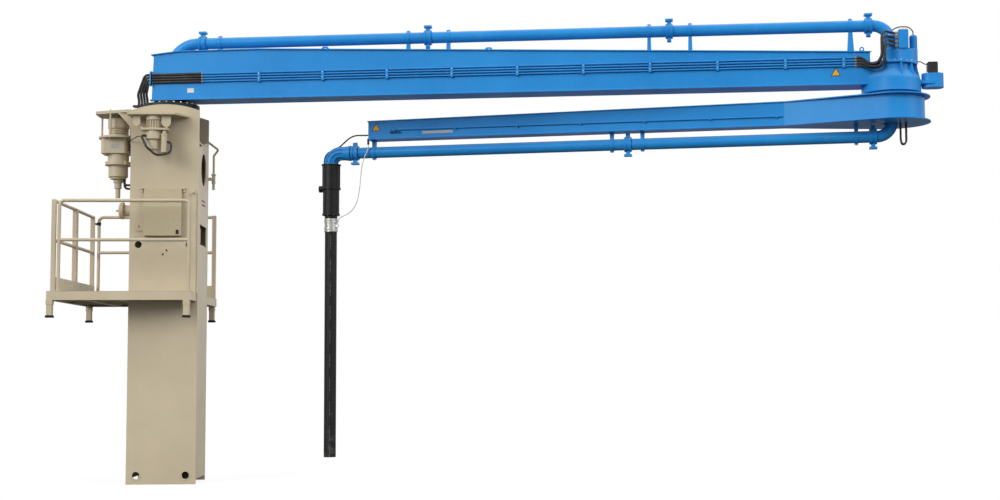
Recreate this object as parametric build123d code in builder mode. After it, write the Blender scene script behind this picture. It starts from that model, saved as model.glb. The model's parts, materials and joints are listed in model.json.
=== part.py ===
"""Stationary two-arm concrete placing boom on a box column with a work platform.

Millimetres. The origin is the centre of the column's foot, +Z up, +X to the right of the column's
front, +Y towards its back. Arm 1 stands on the column's turntable and arm 2 hangs under arm 1's
elbow; both swing about upright axes.
"""

from build123d import *

import os
from math import acos, atan2, cos, radians, sin, sqrt, tan

os.makedirs("parts", exist_ok=True)

# ------------------------------------------------------------------ driving dimensions
# Column: heights above the deck are set from the deck, heights below the cabinet from the floor
column_width = 829.0
column_depth = 774.0
column_wall = 15.0
deck_top = 4150.0               # the slewing housing stands here
deck_plate = 20.0
foot_pin_inset = 119.5          # from the side walls' outer faces
foot_pin_height = 108.0
foot_pin_radius = 45.0

# Delivery line
pipe_radius = 70.0
pipe_bore = 62.5
riser_bottom = 40.0

# Arms: both swing level, arm 1 over the column and arm 2 under arm 1's far end
boom_azimuth = -8.64            # arm 1 from +X
fold_azimuth = 166.25           # arm 2 from +X, folded
arm_1_reach = 8790.0            # column axis to elbow axis
arm_2_reach = 6917.0            # elbow axis to end hose axis
arm_wall = 8.0
flange = 12.0
housing_height = 440.0          # slewing housing, deck to bearing
turntable_height = 115.0        # bearing to arm 1's webs
elbow_over_housing = 10.0       # arm 2's bearing over the column's
arm_2_under_elbow = 56.0        # arm 2's webs under its bearing

# Work platform
walk_left = 878.5               # from the column's left wall to the platform's edge
walk_front = 413.0
walk_back = 933.0
platform_right_inset = 14.5     # the platform ends short of the column's right wall
floor_top = 2302.0
floor_plate = 6.0
beam_height = 100.0
beam_width = 60.0
beam_wall = 8.0
rail_height = 1100.0            # top of the guard rail over the floor
rail_radius = 21.0
knee_rail_height = 610.0
rail_bend = 60.0

# Clearances
bearing_gap = 0.5               # between the faces of a slewing bearing
hinge_gap = 0.4                 # beside a hinge
panel_gap = 0.5                 # a closed lid to its frame
seat_gap = 0.3                  # between round pieces that hold each other
port_clearance = 6.0            # round the delivery line where it passes a plate

half_width = column_width / 2
half_depth = column_depth / 2
housing_top = deck_top + housing_height
arm_bottom = housing_top + turntable_height
elbow_bottom = housing_top + elbow_over_housing
arm_2_top = elbow_bottom - arm_2_under_elbow


# ------------------------------------------------------------------ shared outlines
def stage_outline(top, stages, bore=0.0):
    """Half outline of round stages one under another; each has a radius and a length."""
    points = [(bore, top)]
    for radius, length in stages:
        points += [(radius, points[-1][1]), (radius, points[-1][1] - length)]
    return points + [(bore, points[-1][1])]


def depth_of(stages):
    """Height that round stages take together."""
    return sum(length for radius, length in stages)


def upright(x, y):
    """Upright plane through a drive's axis, for its half outline."""
    return Plane(origin=(x, y, 0), x_dir=(1, 0, 0), z_dir=(0, -1, 0))


def bend_radii(route):
    """Radii of a cord's arcs, each as large as its two runs allow."""
    points = [Vector(*point) for point in route]
    radii = []
    for before, corner, after in zip(points, points[1:], points[2:]):
        arriving = corner - before
        leaving = after - corner
        turn = radians(arriving.get_angle(leaving))
        radii.append(0.45 * min(arriving.length, leaving.length) / tan(turn / 2))
    return radii


def hose(route, radii, radius):
    """A round hose on straight runs joined by tangent arcs."""
    with BuildPart() as made:
        with BuildLine() as path:
            FilletPolyline(*route, radius=radii)
        with BuildSketch(Plane(origin=path.line @ 0, z_dir=path.line % 0)):
            Circle(radius)
        sweep(path=path.line)
    return made.part


# ------------------------------------------------------------------ places on the column
cheek_shoulder = deck_top + 380     # the cheeks' height at their corners
cheek_crown = cheek_shoulder + 76   # and at the middle of the arch
side_wall_drop = 71.0           # the side walls' upper edge at the front, under the deck
side_wall_rise = 91.0           # and at the back, over it
cheek_doubler = 15.0            # extra thickness of the cheeks at the foot pins
doubler_height = 260.0
side_foot_gap = 60.0            # the side walls stop this far above the ground
foot_pin_x = half_width - foot_pin_inset

window_sill = floor_top + 598   # service window in the right wall
window_height = 245.0
window_length = 520.0
manhole_radius = 200.0
manhole_height = deck_top - 308
slot_length = 300.0
slot_height = 18.0
slot_pitch = 49.0
slot_below_manhole = 390.0
cabinet_middle = -12.0          # X
cabinet_width = 410.0
cabinet_bottom = floor_top + 738
cabinet_height = 470.0
hanger_pin_height = cabinet_bottom - 155
hanger_pin_x = half_width - 108.5
hanger_pin_radius = 42.0
plug_radius = 13.0
plug_offsets = ((3.0, -272.0), (48.0, -226.0))   # from the cabinet's lower middle

# Left drive, from its plate down: (radius, length) of each stage
left_plate_top = deck_top + 390
left_plate = 35.0
left_plate_bottom = left_plate_top - left_plate
rib_count = 4
rib_pitch = 28.0
left_gear_stages = ((70.0, 49.0), (130.0, 108.0), (110.0, rib_count * rib_pitch), (238.0, 24.0))
left_box_height = 188.0
left_motor_stages = ((128.0, 99.0), (160.0, 41.0), (118.0, 144.0), (98.0, 25.0), (56.0, 45.0), (44.0, 70.0),
                     (30.0, 116.0))
left_flange_bottom = left_plate_bottom - depth_of(left_gear_stages)
left_box_bottom = left_flange_bottom - left_box_height
left_drive_bottom = left_box_bottom - depth_of(left_motor_stages)

cap_radius = 105.0
cap_under_drive = 43.0
riser_port_height = left_drive_bottom - cap_under_drive - cap_radius

# ------------------------------------------------------------------ column
cheek_front = Plane.XZ.offset(half_depth)
right_face = Plane.YZ.offset(half_width)
inner_width = column_width - 2 * column_wall
foot_pins = [(-foot_pin_x, foot_pin_height), (foot_pin_x, foot_pin_height)]

with BuildPart() as column:
    with BuildSketch():
        Rectangle(column_width, column_depth)
        Rectangle(inner_width, column_depth - 2 * column_wall, mode=Mode.SUBTRACT)
    extrude(amount=deck_top + side_wall_rise)
    # the side walls' upper edge rises from front to back
    with BuildSketch(Plane.YZ.offset(-half_width)):
        with BuildLine():
            Polyline(
                (-half_depth, deck_top - side_wall_drop),
                (half_depth, deck_top + side_wall_rise),
                (half_depth, deck_top + 2 * side_wall_rise),
                (-half_depth, deck_top + 2 * side_wall_rise),
                close=True,
            )
        make_face()
    extrude(amount=column_width, mode=Mode.SUBTRACT)
    # cheeks, from the ground up to the arch
    for cheek_back in (half_depth, column_wall - half_depth):
        with BuildSketch(Plane.XZ.offset(cheek_back)):
            with BuildLine():
                Polyline(
                    (half_width, cheek_shoulder),
                    (half_width, 0),
                    (-half_width, 0),
                    (-half_width, cheek_shoulder),
                )
                ThreePointArc((-half_width, cheek_shoulder), (0, cheek_crown), (half_width, cheek_shoulder))
            make_face()
        extrude(amount=-column_wall)
    # doublers inside the cheeks at the foot
    for face_y, inward in ((column_wall - half_depth, -cheek_doubler), (half_depth - column_wall, cheek_doubler)):
        with BuildSketch(Plane.XZ.offset(-face_y)):
            with Locations((0, doubler_height / 2)):
                Rectangle(inner_width, doubler_height)
        extrude(amount=inward)
    # deck under the slewing housing, with the riser's hole
    with BuildSketch(Plane.XY.offset(deck_top - deck_plate)):
        Rectangle(column_width, column_depth)
        Circle(pipe_radius + port_clearance, mode=Mode.SUBTRACT)
    extrude(amount=deck_plate)
    # the side walls stop short of the ground
    with BuildSketch():
        Rectangle(column_width, column_depth - 2 * (column_wall + cheek_doubler))
    extrude(amount=side_foot_gap, mode=Mode.SUBTRACT)
    # foot pins, through both cheeks
    with BuildSketch(Plane.XZ):
        with Locations(*foot_pins):
            Circle(foot_pin_radius)
    extrude(amount=half_depth, both=True, mode=Mode.SUBTRACT)
    # cabinet opening, hanger pin holes and small holes in the front cheek
    with BuildSketch(cheek_front):
        with Locations((cabinet_middle, cabinet_bottom + cabinet_height / 2)):
            Rectangle(cabinet_width, cabinet_height)
        with Locations((-hanger_pin_x, hanger_pin_height), (hanger_pin_x, hanger_pin_height)):
            Circle(hanger_pin_radius)
        with Locations(*[(cabinet_middle + x, cabinet_bottom + z) for x, z in plug_offsets]):
            Circle(plug_radius)
    extrude(amount=-column_wall, mode=Mode.SUBTRACT)
    # right wall: manhole, slots and service window
    with BuildSketch(right_face):
        with Locations((0, manhole_height)):
            Circle(manhole_radius)
        with Locations(*[(0, manhole_height - slot_below_manhole - slot_pitch * row) for row in range(2)]):
            SlotOverall(slot_length, slot_height)
        with Locations((0, window_sill + window_height / 2)):
            Rectangle(window_length, window_height)
    extrude(amount=-column_wall, mode=Mode.SUBTRACT)
    # left wall: hole for the riser's side port
    with BuildSketch(Plane.YZ.offset(-half_width)):
        with Locations((0, riser_port_height)):
            Circle(pipe_radius + port_clearance)
    extrude(amount=column_wall, mode=Mode.SUBTRACT)
column.part.label = "column"
export_step(column.part, "parts/column.step")

# Square boss with a hole, beside the lid
boss_x = -292.0
boss_over_cabinet = 58.0
boss_size = 92.0
boss_thickness = 12.0
boss_hole = 18.0
with BuildPart() as cheek_boss:
    with BuildSketch(cheek_front):
        with Locations((boss_x, cabinet_bottom + boss_over_cabinet)):
            RectangleRounded(boss_size, boss_size, 14)
            Circle(boss_hole, mode=Mode.SUBTRACT)
    extrude(amount=boss_thickness)
cheek_boss.part.label = "cheek_boss"
export_step(cheek_boss.part, "parts/cheek_boss.step")

# ------------------------------------------------------------------ riser and side port
port_end = -half_width - 145.5  # X of the side port's mouth
cap_depth = 55.0
cap_chamfer = 22.0
cap_knob_length = 42.0
cap_knob_radius = 14.0

with BuildPart() as riser_pipe:
    with BuildSketch(Plane.XY.offset(riser_bottom)):
        Circle(pipe_radius)
        Circle(pipe_bore, mode=Mode.SUBTRACT)
    extrude(amount=housing_top - riser_bottom)
    # opening into the side port
    with BuildSketch(Plane.YZ.offset(-pipe_radius)):
        with Locations((0, riser_port_height)):
            Circle(pipe_bore)
    extrude(amount=pipe_radius, mode=Mode.SUBTRACT)
riser_pipe.part.label = "riser_pipe"
export_step(riser_pipe.part, "parts/riser_pipe.step")

with BuildPart() as side_port:
    with BuildSketch(Plane.YZ.offset(port_end)):
        with Locations((0, riser_port_height)):
            Circle(pipe_radius)
            Circle(pipe_bore, mode=Mode.SUBTRACT)
    extrude(amount=-port_end)
    # saddle on the riser
    with BuildSketch(Plane.XY.offset(riser_port_height - 2 * pipe_radius)):
        Circle(pipe_radius)
        with Locations((pipe_radius, 0)):
            Rectangle(2 * pipe_radius, 4 * pipe_radius)
    extrude(amount=4 * pipe_radius, mode=Mode.SUBTRACT)
side_port.part.label = "side_port"
export_step(side_port.part, "parts/side_port.step")

with BuildPart() as side_port_cap:
    with BuildSketch(Plane.YZ.offset(port_end - cap_depth)):
        with Locations((0, riser_port_height)):
            Circle(cap_radius)
    extrude(amount=cap_depth)
    chamfer(side_port_cap.edges().filter_by(GeomType.CIRCLE).sort_by(Axis.X)[0], cap_chamfer)
    with BuildSketch(Plane.YZ.offset(port_end - cap_depth - cap_knob_length)):
        with Locations((0, riser_port_height)):
            Circle(cap_knob_radius)
    extrude(amount=cap_knob_length)
side_port_cap.part.label = "side_port_cap"
export_step(side_port_cap.part, "parts/side_port_cap.step")

# ------------------------------------------------------------------ slewing housing
housing_radius = 350.0
housing_flange_radius = 368.0
housing_flange = 30.0
housing_stages = (
    (housing_radius, housing_height - housing_flange),
    (housing_flange_radius, housing_flange),
)

with BuildPart() as slewing_housing:
    with BuildSketch(Plane.XZ):
        with BuildLine():
            Polyline(*stage_outline(housing_top, housing_stages, pipe_radius + port_clearance), close=True)
        make_face()
    revolve(axis=Axis.Z)
slewing_housing.part.label = "slewing_housing"
export_step(slewing_housing.part, "parts/slewing_housing.step")

# ------------------------------------------------------------------ left drive
left_drive_x = -half_width - 205.5
left_drive_y = -100.0
left_plate_reach = 265.0        # from the drive's axis to the plate's end
left_plate_front = 130.0
left_plate_back = 190.0
plate_corner = 60.0
gusset_length = 170.0
gusset_height = 190.0
gusset_thickness = 12.0
gusset_y = left_drive_y - 240
tie_circle = 205.0
tie_rod_radius = 12.0
tie_rod_count = 5
tie_rod_overhang = 18.0
rib_depth = 12.0
box_shift = -30.0
box_length = 320.0
box_depth = 300.0
box_corner = 45.0
lug_ring = 145.0
lug_size = 26.0

with BuildPart() as left_drive_plate:
    with BuildSketch(Plane.XY.offset(left_plate_bottom)):
        with BuildLine():
            Polyline(
                (-half_width, -half_depth),
                (-half_width - plate_corner, -half_depth),
                (left_drive_x - left_plate_reach, left_drive_y - left_plate_front),
                (left_drive_x - left_plate_reach, left_drive_y + left_plate_back),
                (-half_width - 1.5 * plate_corner, half_depth - plate_corner),
                (-half_width, half_depth - plate_corner),
                close=True,
            )
        make_face()
    extrude(amount=left_plate)
    fillet(left_drive_plate.edges().filter_by(Axis.Z).group_by(Axis.X)[0], plate_corner)
    # gusset down the cheek's edge
    with BuildSketch(Plane.XZ.offset(-gusset_y)):
        with BuildLine():
            Polyline(
                (-half_width, left_plate_bottom),
                (-half_width - gusset_length, left_plate_bottom),
                (-half_width, left_plate_bottom - gusset_height),
                close=True,
            )
        make_face()
    extrude(amount=gusset_thickness)
left_drive_plate.part.label = "left_drive_plate"
export_step(left_drive_plate.part, "parts/left_drive_plate.step")

with BuildPart() as left_drive_gearbox:
    with BuildSketch(upright(left_drive_x, left_drive_y)):
        with BuildLine():
            Polyline(*stage_outline(left_plate_bottom, left_gear_stages), close=True)
        make_face()
    revolve(axis=Axis((left_drive_x, left_drive_y, 0), (0, 0, 1)))
    # cooling ribs over the flange
    ribs_bottom = left_flange_bottom + left_gear_stages[-1][1]
    for row in range(rib_count):
        with BuildSketch(Plane.XY.offset(ribs_bottom + (row + 0.5) * rib_pitch)):
            with Locations((left_drive_x, left_drive_y)):
                Circle(left_gear_stages[2][0] + rib_depth)
        extrude(amount=rib_pitch / 2)
    # tie rods from the plate through the flange
    with BuildSketch(Plane.XY.offset(left_flange_bottom - tie_rod_overhang)):
        with Locations((left_drive_x, left_drive_y)):
            with PolarLocations(tie_circle, tie_rod_count, start_angle=180):
                Circle(tie_rod_radius)
    extrude(amount=left_plate_bottom - left_flange_bottom + tie_rod_overhang)
    # box stage under the flange
    with BuildSketch(Plane.XY.offset(left_box_bottom)):
        with Locations((left_drive_x + box_shift, left_drive_y)):
            RectangleRounded(box_length, box_depth, box_corner)
    extrude(amount=left_box_height)
left_drive_gearbox.part.label = "left_drive_gearbox"
export_step(left_drive_gearbox.part, "parts/left_drive_gearbox.step")

with BuildPart() as left_drive_motor:
    with BuildSketch(upright(left_drive_x, left_drive_y)):
        with BuildLine():
            Polyline(*stage_outline(left_box_bottom, left_motor_stages), close=True)
        make_face()
    revolve(axis=Axis((left_drive_x, left_drive_y, 0), (0, 0, 1)))
    # lugs of the clamping flange
    flange_bottom = left_box_bottom - depth_of(left_motor_stages[:2])
    with BuildSketch(Plane.XY.offset(flange_bottom)):
        with Locations((left_drive_x, left_drive_y)):
            with PolarLocations(lug_ring, 4, start_angle=45):
                Circle(lug_size)
    extrude(amount=left_motor_stages[1][1])
left_drive_motor.part.label = "left_drive_motor"
export_step(left_drive_motor.part, "parts/left_drive_motor.step")

# ------------------------------------------------------------------ front drive
front_plate_top = deck_top + 313
front_plate = 23.0
front_plate_bottom = front_plate_top - front_plate
front_plate_reach = 253.0       # in front of the cheek
front_plate_left = -half_width
front_plate_right = 160.0
front_plate_flare = 130.0
front_drive_x = -110.0
front_drive_y = -half_depth - 123
ear_front = 60.0                # the ears stand this far in front of the drive's axis
ear_thickness = 14.0
ear_drop = 90.0
ears = ((-200.0, 88.0), (154.0, 112.0))      # X from the drive's axis, width
# stages from the plate down: (radius, length)
front_gear_stages = ((100.0, 56.0), (84.0, 102.0), (122.0, 27.0), (108.0, 105.0), (80.0, 120.0))
fin_count = 20
fin_width = 9.0
fin_depth = 15.0
front_flange = (330.0, 180.0, 22.0)          # length, depth, thickness
front_motor_x = front_drive_x + 135
front_motor_y = front_drive_y - 78
# stages of the slender cylinder under the flange: (radius, length)
front_motor_stages = ((22.0, 52.0), (40.0, 14.0), (35.0, 190.0), (40.0, 16.0), (26.0, 26.0))
fin_top = front_plate_bottom - front_gear_stages[0][1]
fins_bottom = fin_top - front_gear_stages[1][1]
front_flange_bottom = fins_bottom - front_gear_stages[2][1]

with BuildPart() as front_drive_plate:
    with BuildSketch(Plane.XY.offset(front_plate_bottom)):
        with BuildLine():
            Polyline(
                (front_plate_left, -half_depth),
                (front_plate_left, -half_depth - front_plate_reach),
                (front_plate_right, -half_depth - front_plate_reach),
                (front_plate_right + front_plate_flare, -half_depth),
                close=True,
            )
        make_face()
    extrude(amount=front_plate)
    # rounded ears beside the gearbox
    for ear_x, ear_width in ears:
        with BuildSketch(Plane.XZ.offset(ear_front - front_drive_y)):
            with Locations((front_drive_x + ear_x, front_plate_bottom - ear_drop / 2)):
                Rectangle(ear_width, ear_drop)
            with Locations((front_drive_x + ear_x, front_plate_bottom - ear_drop)):
                Circle(ear_width / 2)
        extrude(amount=ear_thickness)
front_drive_plate.part.label = "front_drive_plate"
export_step(front_drive_plate.part, "parts/front_drive_plate.step")

with BuildPart() as front_drive_gearbox:
    with BuildSketch(upright(front_drive_x, front_drive_y)):
        with BuildLine():
            Polyline(*stage_outline(front_plate_bottom, front_gear_stages), close=True)
        make_face()
    revolve(axis=Axis((front_drive_x, front_drive_y, 0), (0, 0, 1)))
    # upright fins round the neck
    with BuildSketch(Plane.XY.offset(fins_bottom)):
        with Locations((front_drive_x, front_drive_y)):
            with PolarLocations(front_gear_stages[1][0], fin_count):
                Rectangle(2 * fin_depth, fin_width)
    extrude(amount=front_gear_stages[1][1])
    # flange that carries the slender cylinder
    with BuildSketch(Plane.XY.offset(front_flange_bottom)):
        with Locations((front_drive_x + 20, front_drive_y - 30)):
            RectangleRounded(front_flange[0], front_flange[1], 40)
    extrude(amount=front_flange[2])
front_drive_gearbox.part.label = "front_drive_gearbox"
export_step(front_drive_gearbox.part, "parts/front_drive_gearbox.step")

with BuildPart() as front_drive_motor:
    with BuildSketch(upright(front_motor_x, front_motor_y)):
        with BuildLine():
            Polyline(*stage_outline(front_flange_bottom, front_motor_stages), close=True)
        make_face()
    revolve(axis=Axis((front_motor_x, front_motor_y, 0), (0, 0, 1)))
front_drive_motor.part.label = "front_drive_motor"
export_step(front_drive_motor.part, "parts/front_drive_motor.step")

# Hoses and leads of the two drives
loop_radius = 14.0
lead_radius = 5.5
left_box_side = left_drive_x + box_shift + box_length / 2
motor_port = front_flange_bottom - depth_of(front_motor_stages[:2]) - 40
left_port = left_box_bottom - depth_of(left_motor_stages[:4])   # flat ring under the motor's body
left_port_radius = 77.0
left_hose_x = -half_width - 24
lead_start = (left_box_side, left_drive_y - 80)
lead_height = left_box_bottom + 110
lead_end_height = front_flange_bottom - 71
with BuildPart() as drive_hoses:
    # loop from the front gearbox to the slender cylinder
    add(hose(
        [
            (front_drive_x - 84, front_drive_y - 68, motor_port + 40),
            (front_drive_x - 137, front_drive_y - 111, motor_port + 40),
            (front_drive_x - 60, front_drive_y - 175, motor_port - 110),
            (front_drive_x + 60, front_drive_y - 175, motor_port - 215),
            (front_motor_x + 85, front_motor_y - 40, motor_port - 180),
            (front_motor_x + 85, front_motor_y, motor_port - 40),
            (front_motor_x + 35, front_motor_y, motor_port - 40),
        ],
        [40, 80, 80, 70, 40], loop_radius,
    ))
    # lead from the left drive round the cheek's edge
    add(hose(
        [
            (*lead_start, lead_height),
            (-half_width - 40, lead_start[1], lead_height),
            (-half_width - 40, -half_depth + 10, lead_height + 16),
            (-half_width + 20, -half_depth - 45, lead_height + 26),
            (front_drive_x - 178.5, front_drive_y - 65, lead_end_height),
            (front_drive_x - 101.5, front_drive_y - 37, lead_end_height),
        ],
        [25, 60, 60, 60], lead_radius,
    ))
    # two hoses from the left motor's foot, down and up beside the column to its box
    for row in range(2):
        hose_y = left_drive_y - 20 + 40 * row
        loop_low = left_port - 75 - 40 * row
        add(hose(
            [
                (left_drive_x + left_port_radius, hose_y, left_port),
                (left_drive_x + left_port_radius, hose_y, loop_low),
                (left_hose_x, hose_y, loop_low),
                (left_hose_x, hose_y, left_box_bottom + 60 + 40 * row),
                (left_box_side, hose_y, left_box_bottom + 60 + 40 * row),
            ],
            [45, 45, 40], loop_radius,
        ))
drive_hoses.part.label = "drive_hoses"
export_step(drive_hoses.part, "parts/drive_hoses.step")

# ------------------------------------------------------------------ control cabinet and lid
cabinet_depth = 160.0
cabinet_wall = 4.0
lid_overlap = 23.0
lid_bottom = cabinet_bottom - 50
lid_top = cabinet_bottom + cabinet_height + 58
lid_left = cabinet_middle - cabinet_width / 2 - lid_overlap
lid_right = cabinet_middle + cabinet_width / 2 + lid_overlap
lid_depth = 64.0
lid_top_depth = 24.0
lid_slope_height = 225.0        # the upper part leans back
lid_wall = 4.0
lid_axis_out = 14.0             # hinge axis in front of the cheek
knuckle_radius = 11.0
knuckle_length = 14.0
bracket_width = 20.0
bracket_height = 56.0
valve_size = (150.0, 70.0, 110.0)
lever_count = 4
lever_pitch = 36.0
lever_radius = 5.0
lever_length = 62.0
lever_knob = 11.0

with BuildPart() as cabinet:
    with BuildSketch(cheek_front):
        with Locations((cabinet_middle, cabinet_bottom + cabinet_height / 2)):
            Rectangle(cabinet_width, cabinet_height)
    extrude(amount=-cabinet_depth)
    with BuildSketch(cheek_front):
        with Locations((cabinet_middle, cabinet_bottom + cabinet_height / 2)):
            Rectangle(cabinet_width - 2 * cabinet_wall, cabinet_height - 2 * cabinet_wall)
    extrude(amount=-(cabinet_depth - cabinet_wall), mode=Mode.SUBTRACT)
cabinet.part.label = "cabinet"
export_step(cabinet.part, "parts/cabinet.step")

# Hand valves in the cabinet's left half, on its back wall
valve_x = cabinet_middle - cabinet_width / 4
valve_back = cabinet_depth - cabinet_wall - half_depth
with BuildPart() as control_valves:
    with Locations((valve_x, valve_back, cabinet_bottom + cabinet_height / 2)):
        Box(valve_size[0], valve_size[1], valve_size[2], align=(Align.CENTER, Align.MAX, Align.CENTER))
    with BuildSketch(Plane.XZ.offset(valve_size[1] - valve_back)):
        with Locations((valve_x, cabinet_bottom + cabinet_height / 2)):
            with GridLocations(lever_pitch, 1, lever_count, 1):
                Circle(lever_radius)
    extrude(amount=lever_length)
    for lever in range(lever_count):
        lever_x = valve_x + (lever - (lever_count - 1) / 2) * lever_pitch
        with Locations((lever_x, valve_back - valve_size[1] - lever_length, cabinet_bottom + cabinet_height / 2)):
            Sphere(lever_knob)
control_valves.part.label = "control_valves"
export_step(control_valves.part, "parts/control_valves.step")


def lid_outline(wall):
    """The lid seen from its end, less a wall; y runs to the column's back."""
    return [
        (0, lid_bottom + wall),
        (wall - lid_depth, lid_bottom + wall),
        (wall - lid_depth, lid_top - lid_slope_height),
        (wall - lid_top_depth, lid_top - wall),
        (0, lid_top - wall),
    ]


lid_plane = Plane(origin=(lid_left, -half_depth - panel_gap, 0), x_dir=(0, 1, 0), z_dir=(1, 0, 0))
with BuildPart() as cabinet_lid:
    with BuildSketch(lid_plane):
        with BuildLine():
            Polyline(*lid_outline(0), close=True)
        make_face()
    extrude(amount=lid_right - lid_left)
    with BuildSketch(lid_plane.offset(lid_wall)):
        with BuildLine():
            Polyline(*lid_outline(lid_wall), close=True)
        make_face()
    extrude(amount=lid_right - lid_left - 2 * lid_wall, mode=Mode.SUBTRACT)
    # hinge knuckles past both ends
    for end_x in (lid_left - knuckle_length, lid_right):
        with BuildSketch(Plane.YZ.offset(end_x)):
            with Locations((-half_depth - lid_axis_out, lid_top)):
                Circle(knuckle_radius)
        extrude(amount=knuckle_length)
cabinet_lid.part.label = "cabinet_lid"
export_step(cabinet_lid.part, "parts/cabinet_lid.step")

with BuildPart() as lid_brackets:
    reach_out = lid_axis_out + knuckle_radius
    for start_x in (lid_left - knuckle_length - hinge_gap - bracket_width, lid_right + knuckle_length + hinge_gap):
        with BuildSketch(Plane.YZ.offset(start_x)):
            with Locations((-half_depth - lid_axis_out / 2, lid_top + knuckle_radius - bracket_height / 2)):
                Rectangle(lid_axis_out, bracket_height)
            with Locations((-half_depth - lid_axis_out, lid_top)):
                Circle(knuckle_radius + 3)
            with Locations((-half_depth + reach_out, lid_top)):
                Rectangle(2 * reach_out, 4 * reach_out, mode=Mode.SUBTRACT)
        extrude(amount=bracket_width)
lid_brackets.part.label = "lid_brackets"
export_step(lid_brackets.part, "parts/lid_brackets.step")

# Locking cylinder between two plates behind the service window
lock_out = 62.0                 # its axis from the wall's inner face
lock_radius = 44.0
lock_rod_radius = 22.0
lock_plate = 12.0
lock_plate_width = 130.0
lock_margin = 30.0              # bare rod at both ends
with BuildPart() as lock_cylinder:
    lock_x = half_width - column_wall - lock_out
    for plate_bottom in (window_sill - lock_plate, window_sill + window_height):
        with BuildSketch(Plane.XY.offset(plate_bottom)):
            with Locations((half_width - column_wall - lock_out, 0)):
                Rectangle(2 * lock_out, lock_plate_width)
        extrude(amount=lock_plate)
    with Locations((lock_x, 0, window_sill)):
        Cylinder(lock_rod_radius, window_height, align=(Align.CENTER, Align.CENTER, Align.MIN))
    with Locations((lock_x, 0, window_sill + lock_margin)):
        Cylinder(lock_radius, window_height - 2 * lock_margin, align=(Align.CENTER, Align.CENTER, Align.MIN))
lock_cylinder.part.label = "lock_cylinder"
export_step(lock_cylinder.part, "parts/lock_cylinder.step")

# Bent conduit at the right end of the back cheek
conduit_radius = 14.0
conduit_out = 33.0              # its axis from the back cheek
conduit_x = half_width + 59.5
conduit_flange_height = deck_top - 310
with BuildPart() as rear_conduit:
    conduit_y = half_depth + conduit_out
    add(hose(
        [
            (half_width - 34, conduit_y, deck_top + 124),
            (half_width + 117, conduit_y, deck_top + 10),
            (conduit_x, conduit_y, deck_top - 68),
            (conduit_x, conduit_y, conduit_flange_height),
        ],
        [24, 24], conduit_radius,
    ))
    with BuildSketch(upright(conduit_x, conduit_y)):
        with BuildLine():
            Polyline(
                *stage_outline(conduit_flange_height + 8, ((31.0, 16.0), (22.0, 84.0), (26.0, 20.0), (17.0, 81.0))),
                close=True,
            )
        make_face()
    revolve(axis=Axis((conduit_x, conduit_y, 0), (0, 0, 1)))
    # clips on the back cheek and its edge
    with Locations((half_width - 34, half_depth, deck_top + 124)):
        Box(44, conduit_out + conduit_radius, 44, align=(Align.CENTER, Align.MIN, Align.CENTER))
    with Locations((half_width - 40, half_depth, conduit_flange_height - 60)):
        Box(120, 12, 40, align=(Align.MIN, Align.MIN, Align.CENTER))
rear_conduit.part.label = "rear_conduit"
export_step(rear_conduit.part, "parts/rear_conduit.step")

# ------------------------------------------------------------------ platform
platform_left = -half_width - walk_left
platform_right = half_width - platform_right_inset
platform_front = -half_depth - walk_front
platform_back = half_depth + walk_back
beam_top = floor_top - floor_plate
beam_bottom = beam_top - beam_height
platform_length = platform_right - platform_left
platform_depth = platform_back - platform_front
platform_middle = ((platform_left + platform_right) / 2, (platform_front + platform_back) / 2)

with BuildPart() as platform_frame:
    # perimeter channels, open inwards: lower flange, web, upper flange
    for low, height, width in (
        (beam_bottom, beam_wall, beam_width),
        (beam_bottom + beam_wall, beam_height - 2 * beam_wall, beam_wall),
        (beam_top - beam_wall, beam_wall, beam_width),
    ):
        with BuildSketch(Plane.XY.offset(low)):
            with Locations(platform_middle):
                Rectangle(platform_length, platform_depth)
                Rectangle(platform_length - 2 * width, platform_depth - 2 * width, mode=Mode.SUBTRACT)
        extrude(amount=height)
    # beams along the column's front, back and left faces and down the left walkway
    with BuildSketch(Plane.XY.offset(beam_bottom)):
        for beam_y in (-half_depth - beam_width / 2, half_depth + beam_width / 2):
            with Locations((platform_middle[0], beam_y)):
                Rectangle(platform_length - 2 * beam_wall, beam_width)
        for beam_x in (-half_width - beam_width / 2, (platform_left - half_width) / 2):
            with Locations((beam_x, platform_middle[1])):
                Rectangle(beam_width, platform_depth - 2 * beam_wall)
    extrude(amount=beam_height)
    with BuildSketch(Plane.XY.offset(beam_bottom)):
        Rectangle(column_width, column_depth)
    extrude(amount=beam_height, mode=Mode.SUBTRACT)
platform_frame.part.label = "platform_frame"
export_step(platform_frame.part, "parts/platform_frame.step")

with BuildPart() as platform_floor:
    with BuildSketch(Plane.XY.offset(beam_top)):
        with Locations(platform_middle):
            Rectangle(platform_length, platform_depth)
        Rectangle(column_width, column_depth, mode=Mode.SUBTRACT)
    extrude(amount=floor_plate)
platform_floor.part.label = "platform_floor"
export_step(platform_floor.part, "parts/platform_floor.step")

leg_width = 70.0
leg_drop = 207.0                # below the beams
leg_socket = 10.0               # the socket round a leg's top stands proud by this
leg_socket_height = 55.0
pad_height = 28.0
pad_width = 92.0
pad_edge = 8.0
leg_inset = leg_width / 2
leg_bottom = beam_bottom - leg_drop
leg_places = [
    (x, y)
    for x in (platform_left + leg_inset, platform_right - leg_inset - 20)
    for y in (platform_front + leg_inset, platform_back - leg_inset)
]
with BuildPart() as platform_legs:
    with BuildSketch(Plane.XY.offset(leg_bottom + pad_height)):
        with Locations(*leg_places):
            RectangleRounded(leg_width, leg_width, 8)
    extrude(amount=leg_drop - pad_height)
    with BuildSketch(Plane.XY.offset(beam_bottom - leg_socket_height)):
        with Locations(*leg_places):
            RectangleRounded(leg_width + leg_socket, leg_width + leg_socket, 8)
    extrude(amount=leg_socket_height)
platform_legs.part.label = "platform_legs"
export_step(platform_legs.part, "parts/platform_legs.step")

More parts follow.
